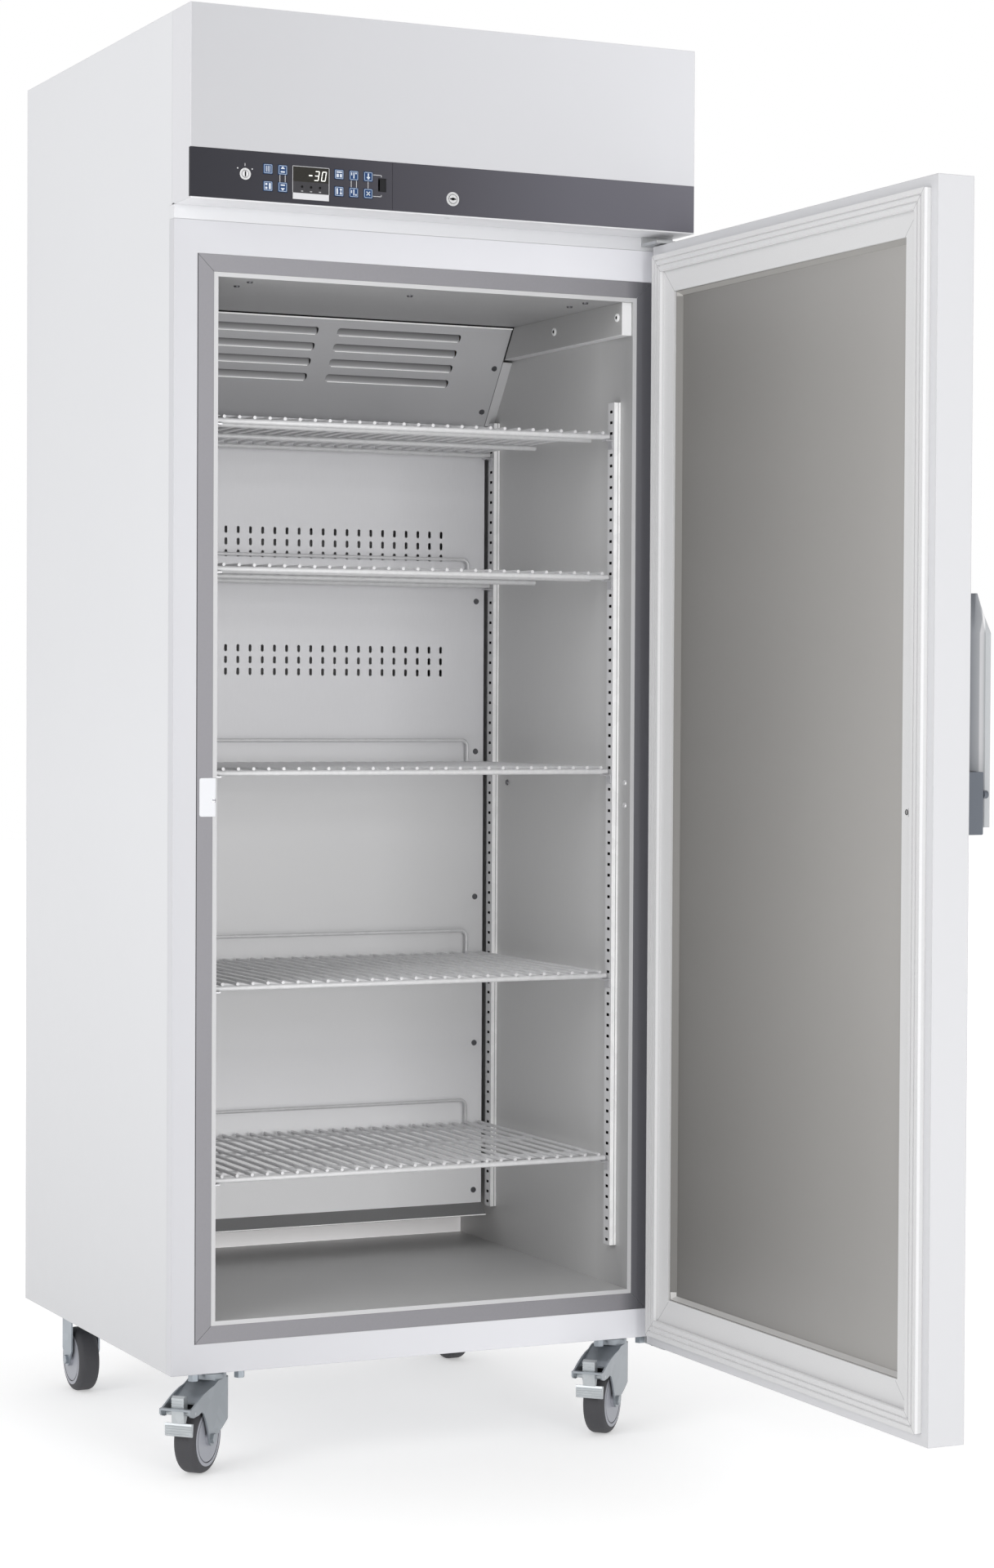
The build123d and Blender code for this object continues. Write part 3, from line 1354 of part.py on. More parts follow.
with BuildPart() as refrigerant_pipes:
    suction_height = up(1620)
    discharge_height = up(1640)
    liquid_height = up(1580)
    condenser_middle = (condenser_front + condenser_rear) / 2
    pipe(((compressor_x + compressor_radius + rest_gap, compressor_y, suction_height),
          (suction_x, compressor_y, suction_height), (suction_x, suction_y, suction_height),
          (suction_x, suction_y, up(1430)), (coil_half_width + rest_gap, suction_y, up(1430))),
         suction_diameter)
    pipe(((compressor_x - compressor_radius - rest_gap, compressor_y, discharge_height),
          (20, compressor_y, discharge_height), (20, condenser_middle, discharge_height),
          (condenser_right + rest_gap, condenser_middle, discharge_height)), suction_diameter * 0.8)
    pipe(((condenser_right + rest_gap, condenser_middle, liquid_height),
          (liquid_x, condenser_middle, liquid_height), (liquid_x, liquid_y, liquid_height),
          (liquid_x, liquid_y, up(1400)), (coil_half_width + rest_gap, liquid_y, up(1400))),
         liquid_diameter)

refrigerant_pipes.part.label = "refrigerant_pipes"
export_step(refrigerant_pipes.part, "parts/refrigerant_pipes.step")


# Power inlet: an appliance socket in the rear sheet
inlet_depth = 26.0

with BuildPart() as power_inlet:
    slab(inlet_x - inlet_width / 2, inlet_x + inlet_width / 2, body_depth - inlet_depth, body_depth,
         up(inlet_height - inlet_tall / 2), up(inlet_height + inlet_tall / 2))
    slab(inlet_x - inlet_width / 2 - 5, inlet_x + inlet_width / 2 + 5, body_depth - steel - 2, body_depth - steel,
         up(inlet_height - inlet_tall / 2 - 5), up(inlet_height + inlet_tall / 2 + 5))
    slab(inlet_x - 12, inlet_x + 12, body_depth - 17, body_depth + 1,
         up(inlet_height - 8), up(inlet_height + 8), mode=Mode.SUBTRACT)
    for x, z in ((-7, -2), (0, 3), (7, -2)):
        slab(inlet_x + x - 1, inlet_x + x + 1, body_depth - 18, body_depth - 4,
             up(inlet_height + z - 2), up(inlet_height + z + 2))

power_inlet.part.label = "power_inlet"
export_step(power_inlet.part, "parts/power_inlet.step")


# Screws, bolts and the two lock rings
screw_radius = 4.5
screw_head = 2.0
bolt_radius = 5.0
bolt_head = 3.5
screw_heights = (1061.0, 830.0, 606.0, 380.0, 152.0)
ceiling = up(cavity_ceiling)
ceiling_screws = ((-254, 35), (254, 35), (-254, 85), (254, 85), (0, 75))
wall_screws = ((407, 783.5), (16, 792), (16, 760))

with BuildPart() as screws:
    heads = [Plane(origin=(x, y, ceiling), x_dir=(1, 0, 0), z_dir=(0, 0, -1)) for x, y in ceiling_screws]
    for side in (-1, 1):
        wall = side * cavity_half_width
        heads += [Plane(origin=(wall, y, up(z)), x_dir=(0, 1, 0), z_dir=(-side, 0, 0)) for y, z in wall_screws]
        heads += [Plane(origin=(side * 284, duct_face, up(z)), x_dir=(1, 0, 0), z_dir=(0, -1, 0))
                  for z in screw_heights]
        heads += [Plane(origin=(side * 285, *slope_point(place, 0)), x_dir=(1, 0, 0),
                        z_dir=(0, -slope_z, -slope_y)) for place in (72.5, 149)]
    for head in heads:
        with BuildSketch(head):
            Circle(screw_radius)
        extrude(amount=screw_head, taper=25)
    with BuildSketch(Plane(origin=(hinge_x + 4.5, 6, lower - hinge_plate), x_dir=(1, 0, 0), z_dir=(0, 0, -1))):
        RegularPolygon(bolt_radius, 6)
    extrude(amount=bolt_head)
    for x, z, ring, plug in ((key_switch_x, key_switch_height, key_ring_diameter, key_plug_diameter),
                             (header_lock_x, header_lock_height, lock_ring_diameter, lock_plug_diameter)):
        with BuildSketch(facing(header_front)):
            with Locations((x, up(z))):
                Circle(ring / 2)
                Circle(plug / 2 + turning_gap, mode=Mode.SUBTRACT)
        extrude(amount=ring_proud)

screws.part.label = "screws_and_lock_rings"
export_step(screws.part, "parts/screws_and_lock_rings.step")
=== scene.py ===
import bpy
from math import cos, pi, radians, sin
from mathutils import Matrix, Vector


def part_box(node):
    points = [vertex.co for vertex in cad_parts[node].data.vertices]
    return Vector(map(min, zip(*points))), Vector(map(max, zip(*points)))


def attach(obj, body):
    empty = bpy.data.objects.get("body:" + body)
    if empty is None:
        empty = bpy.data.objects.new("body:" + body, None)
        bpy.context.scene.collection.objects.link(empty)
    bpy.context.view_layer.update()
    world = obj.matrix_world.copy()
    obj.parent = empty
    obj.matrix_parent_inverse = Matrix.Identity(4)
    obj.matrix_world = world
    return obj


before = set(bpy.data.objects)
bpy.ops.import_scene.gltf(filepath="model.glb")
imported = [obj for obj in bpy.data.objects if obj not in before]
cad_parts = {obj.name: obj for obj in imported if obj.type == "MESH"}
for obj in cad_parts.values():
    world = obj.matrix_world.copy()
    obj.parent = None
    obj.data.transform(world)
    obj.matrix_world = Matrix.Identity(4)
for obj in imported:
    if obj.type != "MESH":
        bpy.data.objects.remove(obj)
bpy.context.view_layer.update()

# Camera: stands to the left of the open door, a little below the middle of the cabinet,
# and looks up the front at the angle of a catalogue picture.
camera_place = Vector((-1.8800, -4.2129, 1.0354))
yaw, pitch, roll = radians(25.207), radians(-1.350), radians(0.294)
ahead = Vector((sin(yaw) * cos(pitch), cos(yaw) * cos(pitch), sin(pitch)))
level_right = Vector((cos(yaw), -sin(yaw), 0))
level_up = level_right.cross(ahead)
right = level_right * cos(roll) + level_up * sin(roll)
upward = level_up * cos(roll) - level_right * sin(roll)
lens = bpy.data.cameras.new("catalogue_camera")
lens.lens = 76.70
lens.sensor_width = 36.0
lens.clip_end = 60.0
camera = bpy.data.objects.new("catalogue_camera", lens)
bpy.context.scene.collection.objects.link(camera)
turn = Matrix((right, upward, -ahead)).transposed().to_4x4()
camera.matrix_world = Matrix.Translation(camera_place) @ turn
bpy.context.scene.camera = camera


# Studio: a pale floor that keeps the freezer's shadow, a white surround, and two soft lamps.
# The larger lamp stands on the left, so the open door's inside falls into half shade.
class Wire:
    """A node's output, which takes part in arithmetic as a number does."""

    def __init__(self, finish, socket):
        self.finish = finish
        self.socket = socket

    def __getitem__(self, name):
        return Wire(self.finish, self.socket.node.outputs[name])

    def maths(self, operation, other):
        return self.finish.node("ShaderNodeMath", {"operation": operation}, {0: self, 1: other})

    def unsigned(self):
        return self.finish.node("ShaderNodeMath", {"operation": "ABSOLUTE"}, {0: self})

    def __add__(self, other):
        return self.maths("ADD", other)

    def __sub__(self, other):
        return self.maths("SUBTRACT", other)

    def __rsub__(self, other):
        return self.finish.node("ShaderNodeMath", {"operation": "SUBTRACT"}, {0: other, 1: self})

    def __mul__(self, other):
        return self.maths("MULTIPLY", other)

    def __gt__(self, other):
        return self.maths("GREATER_THAN", other)

    def __lt__(self, other):
        return self.maths("LESS_THAN", other)


class Finish:
    """A material in the making: node adds any node, and set fills in the shader."""

    def __init__(self, name):
        self.material = bpy.data.materials.new(name)
        self.material.use_nodes = True
        self.tree = self.material.node_tree
        self.shader = self.tree.nodes["Principled BSDF"]
        self.place = self.node("ShaderNodeTexCoord")["Object"]

    def plug(self, socket, value):
        if isinstance(value, Wire):
            self.tree.links.new(value.socket, socket)
        elif socket.type == "RGBA" and len(value) == 3:
            socket.default_value = (*value, 1.0)
        else:
            socket.default_value = value

    def node(self, kind, settings=None, sockets=None):
        made = self.tree.nodes.new(kind)
        for name, value in (settings or {}).items():
            if name == "stops":
                while len(made.color_ramp.elements) < len(value):
                    made.color_ramp.elements.new(0.5)
                for element, (position, colour) in zip(made.color_ramp.elements, value):
                    element.position = position
                    element.color = (*colour, 1.0)
            else:
                setattr(made, name, value)
        for key, value in (sockets or {}).items():
            self.plug(made.inputs[key], value)
        return Wire(self, made.outputs[0])

    def set(self, **sockets):
        for name, value in sockets.items():
            self.plug(self.shader.inputs[name.replace("_", " ")], value)
        return self.material

    def noise(self, scale, detail=2.0, stretch=None):
        place = self.place
        if stretch:
            place = self.node("ShaderNodeMapping", {}, {"Vector": place, "Scale": stretch})
        return self.node("ShaderNodeTexNoise", {}, {"Vector": place, "Scale": scale, "Detail": detail,
                                                    "Roughness": 0.5})

    def mix(self, factor, first, second, blend="MIX"):
        return self.node("ShaderNodeMix", {"data_type": "RGBA", "blend_type": blend},
                         {0: factor, 6: first, 7: second})["Result"]

    def ramp(self, value, start, end, first=0.0, last=1.0):
        """A number that runs from first to last while the value goes from start to end."""
        return self.node("ShaderNodeMapRange", {}, {0: value, 1: start, 2: end, 3: first, 4: last})

    def colours(self, value, stops):
        """A colour that runs through the stops while the value goes from 0 to 1."""
        return self.node("ShaderNodeValToRGB", {"stops": stops}, {0: value})["Color"]

    def axis(self, name):
        return self.node("ShaderNodeSeparateXYZ", {}, {0: self.place})[name]

    def across(self):
        """The place along the cabinet's width of 0.750 m, from 0 at the left to 1."""
        return self.axis("X") * 1.3333 + 0.5

    def off_middle(self):
        """The distance from the plane in the middle of the cabinet's width."""
        return self.axis("X").unsigned()

    def within(self, name, low, high):
        """A mask that is 1 between two places along an axis and 0 elsewhere."""
        along = self.axis(name)
        return (along > low) * (along < high)

    def bump(self, height, distance, strength=1.0, edge=0.0):
        sockets = {"Height": height, "Distance": distance, "Strength": strength}
        if edge:
            sockets["Normal"] = self.node("ShaderNodeBevel", {"samples": 4}, {"Radius": edge})
        return self.node("ShaderNodeBump", {}, sockets)


def alone():
    """Leaves nothing selected, so that the next operator acts on the new piece only."""
    if bpy.context.object and bpy.context.object.mode != "OBJECT":
        bpy.ops.object.mode_set(mode="OBJECT")
    bpy.ops.object.select_all(action="DESELECT")


floor_finish = Finish("studio_floor")
floor_tone = floor_finish.noise(0.4, 3.0) * 0.01 + 0.78
floor_colour = floor_finish.node("ShaderNodeCombineColor", {}, {0: floor_tone, 1: floor_tone, 2: floor_tone})
# The floor glows evenly further out and dimmer round the cabinet, a painted shadow under the freezer.
cabinet_middle = (0.0, 0.30, 0.0)
shadow_end, glow_start = 0.35, 1.5
shadow_glow, open_glow = (0.61, 0.61, 0.61), (1.0, 1.0, 1.0)
away = floor_finish.node("ShaderNodeVectorMath", {"operation": "DISTANCE"},
                         {0: floor_finish.place, 1: cabinet_middle})["Value"]
floor_glow = floor_finish.mix(floor_finish.ramp(away, shadow_end, glow_start), shadow_glow, open_glow)
floor_size = 40.0
alone()
bpy.ops.mesh.primitive_grid_add(x_subdivisions=8, y_subdivisions=8, size=floor_size, location=(0, 0, 0))
floor = bpy.context.object
floor.name = "studio_floor"
floor.data.materials.append(floor_finish.set(Base_Color=floor_colour, Roughness=0.9,
                                             Emission_Color=floor_glow, Emission_Strength=0.60))

world = bpy.data.worlds.new("studio")
bpy.context.scene.world = world
world.use_nodes = True
sky = world.node_tree.nodes["Background"]
sky.inputs["Color"].default_value = (1.0, 1.0, 1.0, 1.0)
light_strength, backdrop_strength = 0.66, 1.0
path = world.node_tree.nodes.new("ShaderNodeLightPath")
strength = world.node_tree.nodes.new("ShaderNodeMath")
strength.operation = "MULTIPLY_ADD"
strength.inputs[1].default_value = backdrop_strength - light_strength
strength.inputs[2].default_value = light_strength
world.node_tree.links.new(path.outputs["Is Camera Ray"], strength.inputs[0])
world.node_tree.links.new(strength.outputs[0], sky.inputs["Strength"])

for name, place, target, size, power in (
        ("side_lamp", (-4.6, -2.0, 2.9), (0, 0.2, 1.2), 2.6, 72.0),
        ("front_lamp", (0.4, -6.0, 1.5), (0, 0.3, 0.9), 1.6, 85.0)):
    lamp = bpy.data.lights.new(name, "AREA")
    lamp.size = size
    lamp.energy = power
    holder = bpy.data.objects.new(name, lamp)
    bpy.context.scene.collection.objects.link(holder)
    way = Vector(target) - Vector(place)
    holder.matrix_world = Matrix.Translation(place) @ way.to_track_quat("-Z", "Y").to_matrix().to_4x4()
bpy.context.scene.view_settings.view_transform = "Standard"


# Outer casing: folded sheet steel with a baked white coat, which shows a fine orange peel
# close up, and painted shade towards the floor. The deck over the insulated box and the header's
# cover have the same coat, the header's painted darker as painted shade, with painted light on
# its underside, sides and top and towards its right end.
def dress(node, material):
    """Gives a CAD node its material in every slot."""
    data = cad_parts[node].data
    if not data.materials:
        data.materials.append(material)
    for slot in range(len(data.materials)):
        data.materials[slot] = material


def shade(colour, share):
    """The colour made darker, or paler where the share is over 1."""
    return tuple(c * share for c in colour)


def white_paint(name, colour, shine=0.34, edge=0.0012, painted_light_right=1.0, patches=(), foot=1.0):
    """Baked coat on sheet steel: slight clouding, orange peel and softly rounded folds, with painted light to
    the right and on patches, and painted shade at the foot, where asked.
    """
    finish = Finish(name)
    cloud = finish.noise(1.7, 3.0)
    low = shade(colour, 0.965)
    peel = finish.noise(900.0, 2.0)
    tint = finish.mix(cloud, low, colour)
    # Painted light: the coat is lighter towards the right.
    if painted_light_right != 1.0:
        over = finish.mix(cloud, shade(low, painted_light_right), shade(colour, painted_light_right))
        tint = finish.mix(finish.across(), tint, over)
    # Painted light: whole faces, such as the header's underside and sides, in a paler coat.
    for axis, low_end, high_end, paler in patches:
        tint = finish.mix(finish.within(axis, low_end, high_end), tint, paler)
    # Painted shade: the coat is darker towards the floor.
    if foot != 1.0:
        tint = finish.mix(finish.ramp(finish.axis("Z"), 0.9, 0.14), tint, shade(colour, foot))
    return finish.set(Base_Color=tint, Roughness=finish.noise(35.0, 3.0) * 0.08 + shine,
                      Normal=finish.bump(peel, 0.00002, 0.35, edge))


def above(height):
    """Height over the floor in metres of a height above the body's underside in millimetres."""
    return (134.0 + height) / 1000.0


dress("outer_casing", white_paint("casing_paint", (0.705, 0.71, 0.73), foot=0.83))
# Painted light on the header's underside, sides and top.
header_painted_light = {
    "underside": ("Z", 1.60, above(1566.2), (0.80, 0.80, 0.82)),
    "left side": ("X", -0.40, -0.3742, (0.66, 0.66, 0.685)),
    "right side": ("X", 0.3742, 0.40, (0.70, 0.705, 0.725)),
    "top": ("Z", 1.9545, 1.96, (0.695, 0.70, 0.72))}
dress("header_panel", white_paint("header_paint", (0.505, 0.507, 0.527), painted_light_right=1.31,
                                  patches=header_painted_light.values()))


# Front frame: the white folded face round the opening, in the casing's coat, painted darker and a
# little cooler in tone as painted shade, and lighter towards the right as painted light.
dress("front_frame", white_paint("frame_paint", (0.592, 0.594, 0.622), painted_light_right=1.42))


# Gasket strips: plain steel bars with a drawn grain along them, which the magnetic gasket
# grips. The strike plate of the door's lock is let into the left one.
def drawn_steel(name, colour, grain, shine, metal=1.0, painted_hinge_shade=None, shadow_rim=None):
    """Bare sheet or wire with a fine grain along one way; where asked, painted shade and painted reflection
    of the door darken the hinge side, and a painted shadow line runs along one edge.
    """
    finish = Finish(name)
    lines = finish.noise(60.0, 4.0, grain)
    patches = finish.noise(3.0, 2.0)
    tint = finish.mix(lines * 0.7 + patches * 0.3, shade(colour, 0.86), colour)
    if painted_hinge_shade:
        tint = finish.mix(finish.ramp(finish.axis("X"), 0.300, 0.322), tint, painted_hinge_shade)
    if shadow_rim:
        # Painted shadow: a dark line along the strip's outer edge.
        tint = finish.mix(finish.axis("X") < shadow_rim, tint, (0.05, 0.05, 0.055))
    return finish.set(Base_Color=tint, Metallic=metal, Roughness=lines * 0.12 + shine,
                      Normal=finish.bump(lines, hair, 0.4))


hair = 0.00001
rim_width = 0.0010
# Painted shade and reflection: the strips are darker at the hinge side, with a shadow line along their outer
# edge.
dress("gasket_strip", drawn_steel("strip_steel", (0.285, 0.280, 0.300), (4, 4, 4), 0.46, 0.3,
                                  painted_hinge_shade=(0.138, 0.138, 0.152),
                                  shadow_rim=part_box("gasket_strip")[0].x + rim_width))
dress("strike_plate", white_paint("strike_plastic", (0.76, 0.77, 0.80), 0.3, 0.0006))


# Inner liner: the tank of the cold space, in fine matt metal sheet with its flange painted.
# The flange shows as a thin pale line round the opening.
def liner_sheet(name, colour, patches=(), glow=None):
    """Matt metal sheet with a fine upright grain, broad soft clouds, patches of other tones, most of them
    painted light and shade, and a glow of painted light where asked.
    """
    finish = Finish(name)
    grain = finish.noise(90.0, 4.0, (6, 6, 0.6))
    clouds = finish.noise(2.2, 2.0)
    sheet = finish.mix(grain * 0.5 + clouds * 0.5, shade(colour, 0.90), colour)
    for mask, tone in patches:
        sheet = finish.mix(mask(finish), sheet, (tone, tone, tone * 1.01))
    front = finish.axis("Y") < 0.0004
    sheet = finish.mix(front, sheet, (0.57, 0.57, 0.58))
    # Painted light: a faint glow, as of light from the floor.
    if glow:
        floor_light = finish.mix(glow(finish), (0, 0, 0), (0.9, 0.87, 0.86))
        finish.set(Emission_Color=floor_light, Emission_Strength=0.22)
    return finish.set(Base_Color=sheet, Metallic=(1 - front) * sheet_metal, Roughness=grain * 0.1 + 0.46,
                      Normal=finish.bump(grain, hair, 0.3))


def behind_slots(finish):
    """The wall behind the pilasters' slots, which no light reaches."""
    rows = finish.within("Y", 0.0365, 0.0555) + finish.within("Y", 0.4405, 0.4595)
    return (finish.off_middle() > side_wall) * rows * finish.within("Z", above(128.5), above(1333.5))


def under_duct(finish):
    """The rear wall's foot, which the duct's lip leaves open to the light from the floor."""
    return finish.within("Z", 0.0, above(116.0)) * (finish.axis("Y") > 0.5720)


def painted_shade_near_opening(finish):
    """The side walls' front edges, painted darker as painted shade."""
    return (finish.off_middle() > side_wall) * finish.ramp(finish.axis("Y"), 0.10, 0.02)


def low_duct(finish):
    """The duct's foot, which faces the bright floor of the room."""
    return finish.ramp(finish.axis("Z"), above(380), above(230))


def middle_duct(finish):
    """The duct's middle, which the lower shelves shade."""
    return finish.ramp((finish.axis("Z") - above(600)).unsigned(), 0.28, 0.16)


def cover_shadow(finish):
    """The painted shadow along the ceiling where the evaporator cover's top edge meets it."""
    return finish.within("Y", 0.3565, 0.3640) * on_ceiling(finish)


def on_ceiling(finish):
    """The cold space's ceiling, which faces away from the lamps."""
    return finish.axis("Z") > above(1472.3)


def behind_slope(finish):
    """The distance behind the face of the evaporator cover's slope."""
    return ((finish.axis("Y") - slope_top_y / 1000) * slope_z
            + (finish.axis("Z") - above(slope_top_z)) * slope_y)


def cover_gap(finish):
    """The shadow down each rail's end, in the gap before the evaporator cover's slope."""
    return behind_slope(finish) > -0.0022


def rail_fold(finish):
    """The rails' bottom fold, which the floor's light reaches."""
    return finish.axis("Z") < rail_low.z + 0.0011


def rail_end(finish):
    """The rails' cut front ends."""
    return finish.axis("Y") < rail_low.y + 0.0006


def duct_lip(finish):
    """The duct's bottom lip, which is turned away from the light."""
    return finish.axis("Z") < above(132.2)


sheet_metal = 0.25
side_wall = 0.3118
slope_y, slope_z = 0.5807, 0.8141
slope_top_y, slope_top_z = 362.0, 1472.6
rail_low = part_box("side_rails")[0]
dress("inner_liner", liner_sheet("liner_metal", (0.61, 0.61, 0.61), (
    (painted_shade_near_opening, 0.40), (behind_slots, 0.02), (under_duct, 0.96), (on_ceiling, 0.45), (cover_shadow, 0.01)),
    glow=under_duct))
dress("side_rails", liner_sheet("rail_metal", (0.49, 0.49, 0.49), (
    (rail_fold, 0.80), (rail_end, 0.95), (cover_gap, 0.01))))
dress("air_duct_panel", liner_sheet("duct_metal", (0.765, 0.765, 0.784), (
    (middle_duct, 0.70), (low_duct, 0.97), (duct_lip, 0.24))))


# Evaporator cover: a sheet sloped at 54 degrees, whose louvres are pressed inwards; each vane is
# painted darker with its depth as painted shade, and the edge under it is a painted highlight.
def down_slope(place, depth):
    """Y and Z of a point down the cover's slope and behind its face, both given in mm."""
    return ((slope_top_y + place * slope_y + depth * slope_z) / 1000,
            above(slope_top_z - place * slope_z + depth * slope_y))


cover = Finish("cover_metal")
cover_grain = cover.noise(90.0, 4.0, (0.6, 6, 6))
cover_clouds = cover.noise(2.2, 2.0)
cover_tone = cover.mix(cover_grain * 0.5 + cover_clouds * 0.5, (0.54, 0.54, 0.555), (0.60, 0.60, 0.615))
# Painted light and shade: darker down the slope, paler towards the right side, pale cheeks at the sides and a
# dark fold before them.
downhill = cover.ramp(cover.axis("Z"), above(1470), above(1335))
cover_tone = cover.mix(downhill, cover_tone, (0.40, 0.40, 0.412))
lit_side = cover.ramp(cover.axis("X"), 0.12, 0.29) * 0.5
cover_tone = cover.mix(lit_side, cover_tone, (0.74, 0.74, 0.755))
hidden = behind_slope(cover)
sheet_back, vane_depth = 0.0017, 0.008
vane_shade = cover.colours(hidden * (1 / vane_depth), (
    (0.0, (0.42, 0.42, 0.43)), (1.0, (0.035, 0.035, 0.037))))
cover_tone = cover.mix(hidden > sheet_back, cover_tone, vane_shade)
out_to_side = cover.off_middle()
groove_start, cheek_start = 0.2957, 0.2969
cover_tone = cover.mix(out_to_side > cheek_start, cover_tone, (0.74, 0.74, 0.75))
groove = (out_to_side > groove_start) * (out_to_side < cheek_start)
cover_tone = cover.mix(groove, cover_tone, (0.20, 0.20, 0.21))
dress("evaporator_cover", cover.set(Base_Color=cover_tone, Metallic=sheet_metal,
                                    Roughness=cover_grain * 0.1 + 0.44,
                                    Normal=cover.bump(cover_grain, hair, 0.3)))


# Pilasters and shelf clips: zinc-plated channels with punched slots, and the small bright
# hooks that hang in them under each shelf.
def zinc(name, colour, shine=0.32, metal=0.9, glow=0.0, patches=()):
    """Zinc plating with its faint blue spangle, with patches of painted shade and a glow of painted light
    where asked.
    """
    finish = Finish(name)
    flakes = finish.node("ShaderNodeTexVoronoi", {}, {"Vector": finish.place, "Scale": 60.0})["Color"]
    grey = finish.node("ShaderNodeSeparateColor", {}, {0: flakes})
    clouds = finish.noise(25.0, 3.0)
    tint = finish.mix(grey * 0.4 + clouds * 0.6, shade(colour, 0.80), colour)
    for mask, tone in patches:
        tint = finish.mix(mask(finish), tint, (tone, tone, tone * 1.02))
    if glow:
        finish.set(Emission_Color=tint, Emission_Strength=glow)
    return finish.set(Base_Color=tint, Metallic=metal, Roughness=clouds * 0.14 + shine,
                      Normal=finish.bump(finish.noise(400.0), hair, 0.4, 0.0004))


def slotted_web(finish):
    """The pilasters' slotted webs, which stand square to the lamps' light."""
    return (finish.off_middle() < web_back) * (finish.axis("Y") > 0.0368)


def rolled_bead(finish):
    """The dark line of painted shade in the bead that is rolled into each pilaster's front face."""
    beside = finish.off_middle()
    return (beside > 0.3078) * (beside < 0.3088)


def channel_inside(finish):
    """The hollow of each pilaster, painted black as the shade that shows through its slots."""
    channels = finish.within("Y", 0.0366, 0.0554) + finish.within("Y", 0.4406, 0.4594)
    return (finish.off_middle() > web_back) * channels


web_back = 0.3023
# Painted light and shade: the pilasters glow faintly, with darker webs and painted shade in their beads and
# hollows.
dress("pilasters", zinc("pilaster_zinc", (0.95, 0.95, 0.95), 0.3, 0.1, glow=0.13,
                        patches=((rolled_bead, 0.30), (slotted_web, 0.50), (channel_inside, 0.01))))
dress("shelf_clips", zinc("clip_zinc", (0.70, 0.70, 0.72), 0.25))


# Wire shelves: welded steel rod in a pale grey coat, which has run together a little at
# each weld.
shelf_count = 5
wire = Finish("shelf_coat")
wire_runs = wire.noise(120.0, 3.0)
wire_coat = wire.set(Base_Color=wire.mix(wire_runs, (0.62, 0.62, 0.63), (0.76, 0.76, 0.77)),
                     Metallic=0.2, Roughness=wire_runs * 0.1 + 0.28,
                     Normal=wire.bump(wire_runs, 0.00006, 0.5))
for number in range(shelf_count):
    dress(f"shelf_{number + 1}", wire_coat)


# Control band: a dark blue-grey plate across the header, grained like pressed film, with its
# ends folded round the header's sides.
band = Finish("band_film")
band_grain = band.noise(1500.0, 2.0)
# Painted light: the band runs lighter from left to right.
band_tone = band.colours(band.across(), (
    (0.0, (0.024, 0.024, 0.031)), (0.25, (0.038, 0.037, 0.047)), (0.5, (0.070, 0.068, 0.082)),
    (0.75, (0.116, 0.114, 0.135)), (1.0, (0.146, 0.143, 0.167))))
# Painted shade: the data slot's recess is near black.
data_slot = band.within("X", -0.1075, -0.0957) * band.within("Y", -0.0620, -0.0600)
band_tone = band.mix(data_slot, band_tone, (0.010, 0.010, 0.012))
dress("control_band", band.set(Base_Color=band_tone, Roughness=band_grain * 0.15 + 0.50,
                               Specular_IOR_Level=0.25, Normal=band.bump(band_grain, 0.00002, 0.3, 0.0006)))


# Display: a dark window with a lit figure, three lamps that are off, and a bare white
# label strip in its lower edge.
def plate(name, low, high, material, body, corner=0.0):
    """Thin plate between two corners, with its edges bevelled where a corner width is given."""
    alone()
    middle = (Vector(low) + Vector(high)) / 2
    span = Vector(high) - Vector(low)
    bpy.ops.mesh.primitive_cube_add(size=1.0, location=middle)
    piece = bpy.context.object
    piece.name = name
    bpy.ops.object.mode_set(mode="EDIT")
    bpy.ops.mesh.select_all(action="SELECT")
    bpy.ops.transform.resize(value=span)
    if corner:
        bpy.ops.mesh.bevel(offset=corner, segments=2)
    bpy.ops.object.mode_set(mode="OBJECT")
    settle(piece, material, body)
    return piece


def settle(piece, material, body):
    """Puts a finished piece's place into its mesh, gives it its material and lets it ride."""
    piece.data.transform(piece.matrix_world)
    piece.matrix_world = Matrix.Identity(4)
    piece.data.name = piece.name
    piece.data.materials.clear()
    piece.data.materials.append(material)
    "slot" in material
    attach(piece, body)


def joined(name, pieces):
    """Makes one piece of several of the same material on the same body."""
    alone()
    for piece in pieces:
        piece.select_set(True)
    bpy.context.view_layer.objects.active = pieces[0]
    if len(pieces) > 1:
        bpy.ops.object.join()
    pieces[0].name = name
    pieces[0].data.name = name
    return pieces[0]


def print_ink(name, colour, glow=0.0, slot="trim_paint"):
    """Flat printing ink, or a lit segment when it glows."""
    finish = Finish(name)
    finish.material["slot"] = slot
    speck = finish.noise(2500.0, 1.0)
    tint = finish.mix(speck * 0.25, colour, shade(colour, 0.8))
    dark = max(colour) < 0.05
    finish.set(Base_Color=tint, Roughness=speck * 0.1 + 0.45, Specular_IOR_Level=0.1 if dark else 0.4)
    if glow:
        finish.set(Emission_Color=tint, Emission_Strength=glow)
    return finish.material


white_ink = print_ink("white_ink", (0.66, 0.66, 0.68))
lit_segment = print_ink("lit_segment", (0.95, 0.95, 0.90), 0.25)
face_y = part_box("display_module")[0].y
window_x, window_z = -0.2051, above(1595.0)
half_w, half_h = 26.4, 22.0
glass = Finish("display_window")
haze = glass.noise(300.0, 2.0)
upper_tone = glass.mix(haze, (0.017, 0.016, 0.013), (0.026, 0.024, 0.020))
lower_tone = glass.mix(haze, (0.040, 0.039, 0.044), (0.050, 0.049, 0.054))
window_tone = glass.mix(glass.within("Z", 1.70, above(1596.5)), upper_tone, lower_tone)
dress("display_module", glass.set(Base_Color=window_tone, Roughness=haze * 0.05 + 0.32,
                                  Specular_IOR_Level=0.2))


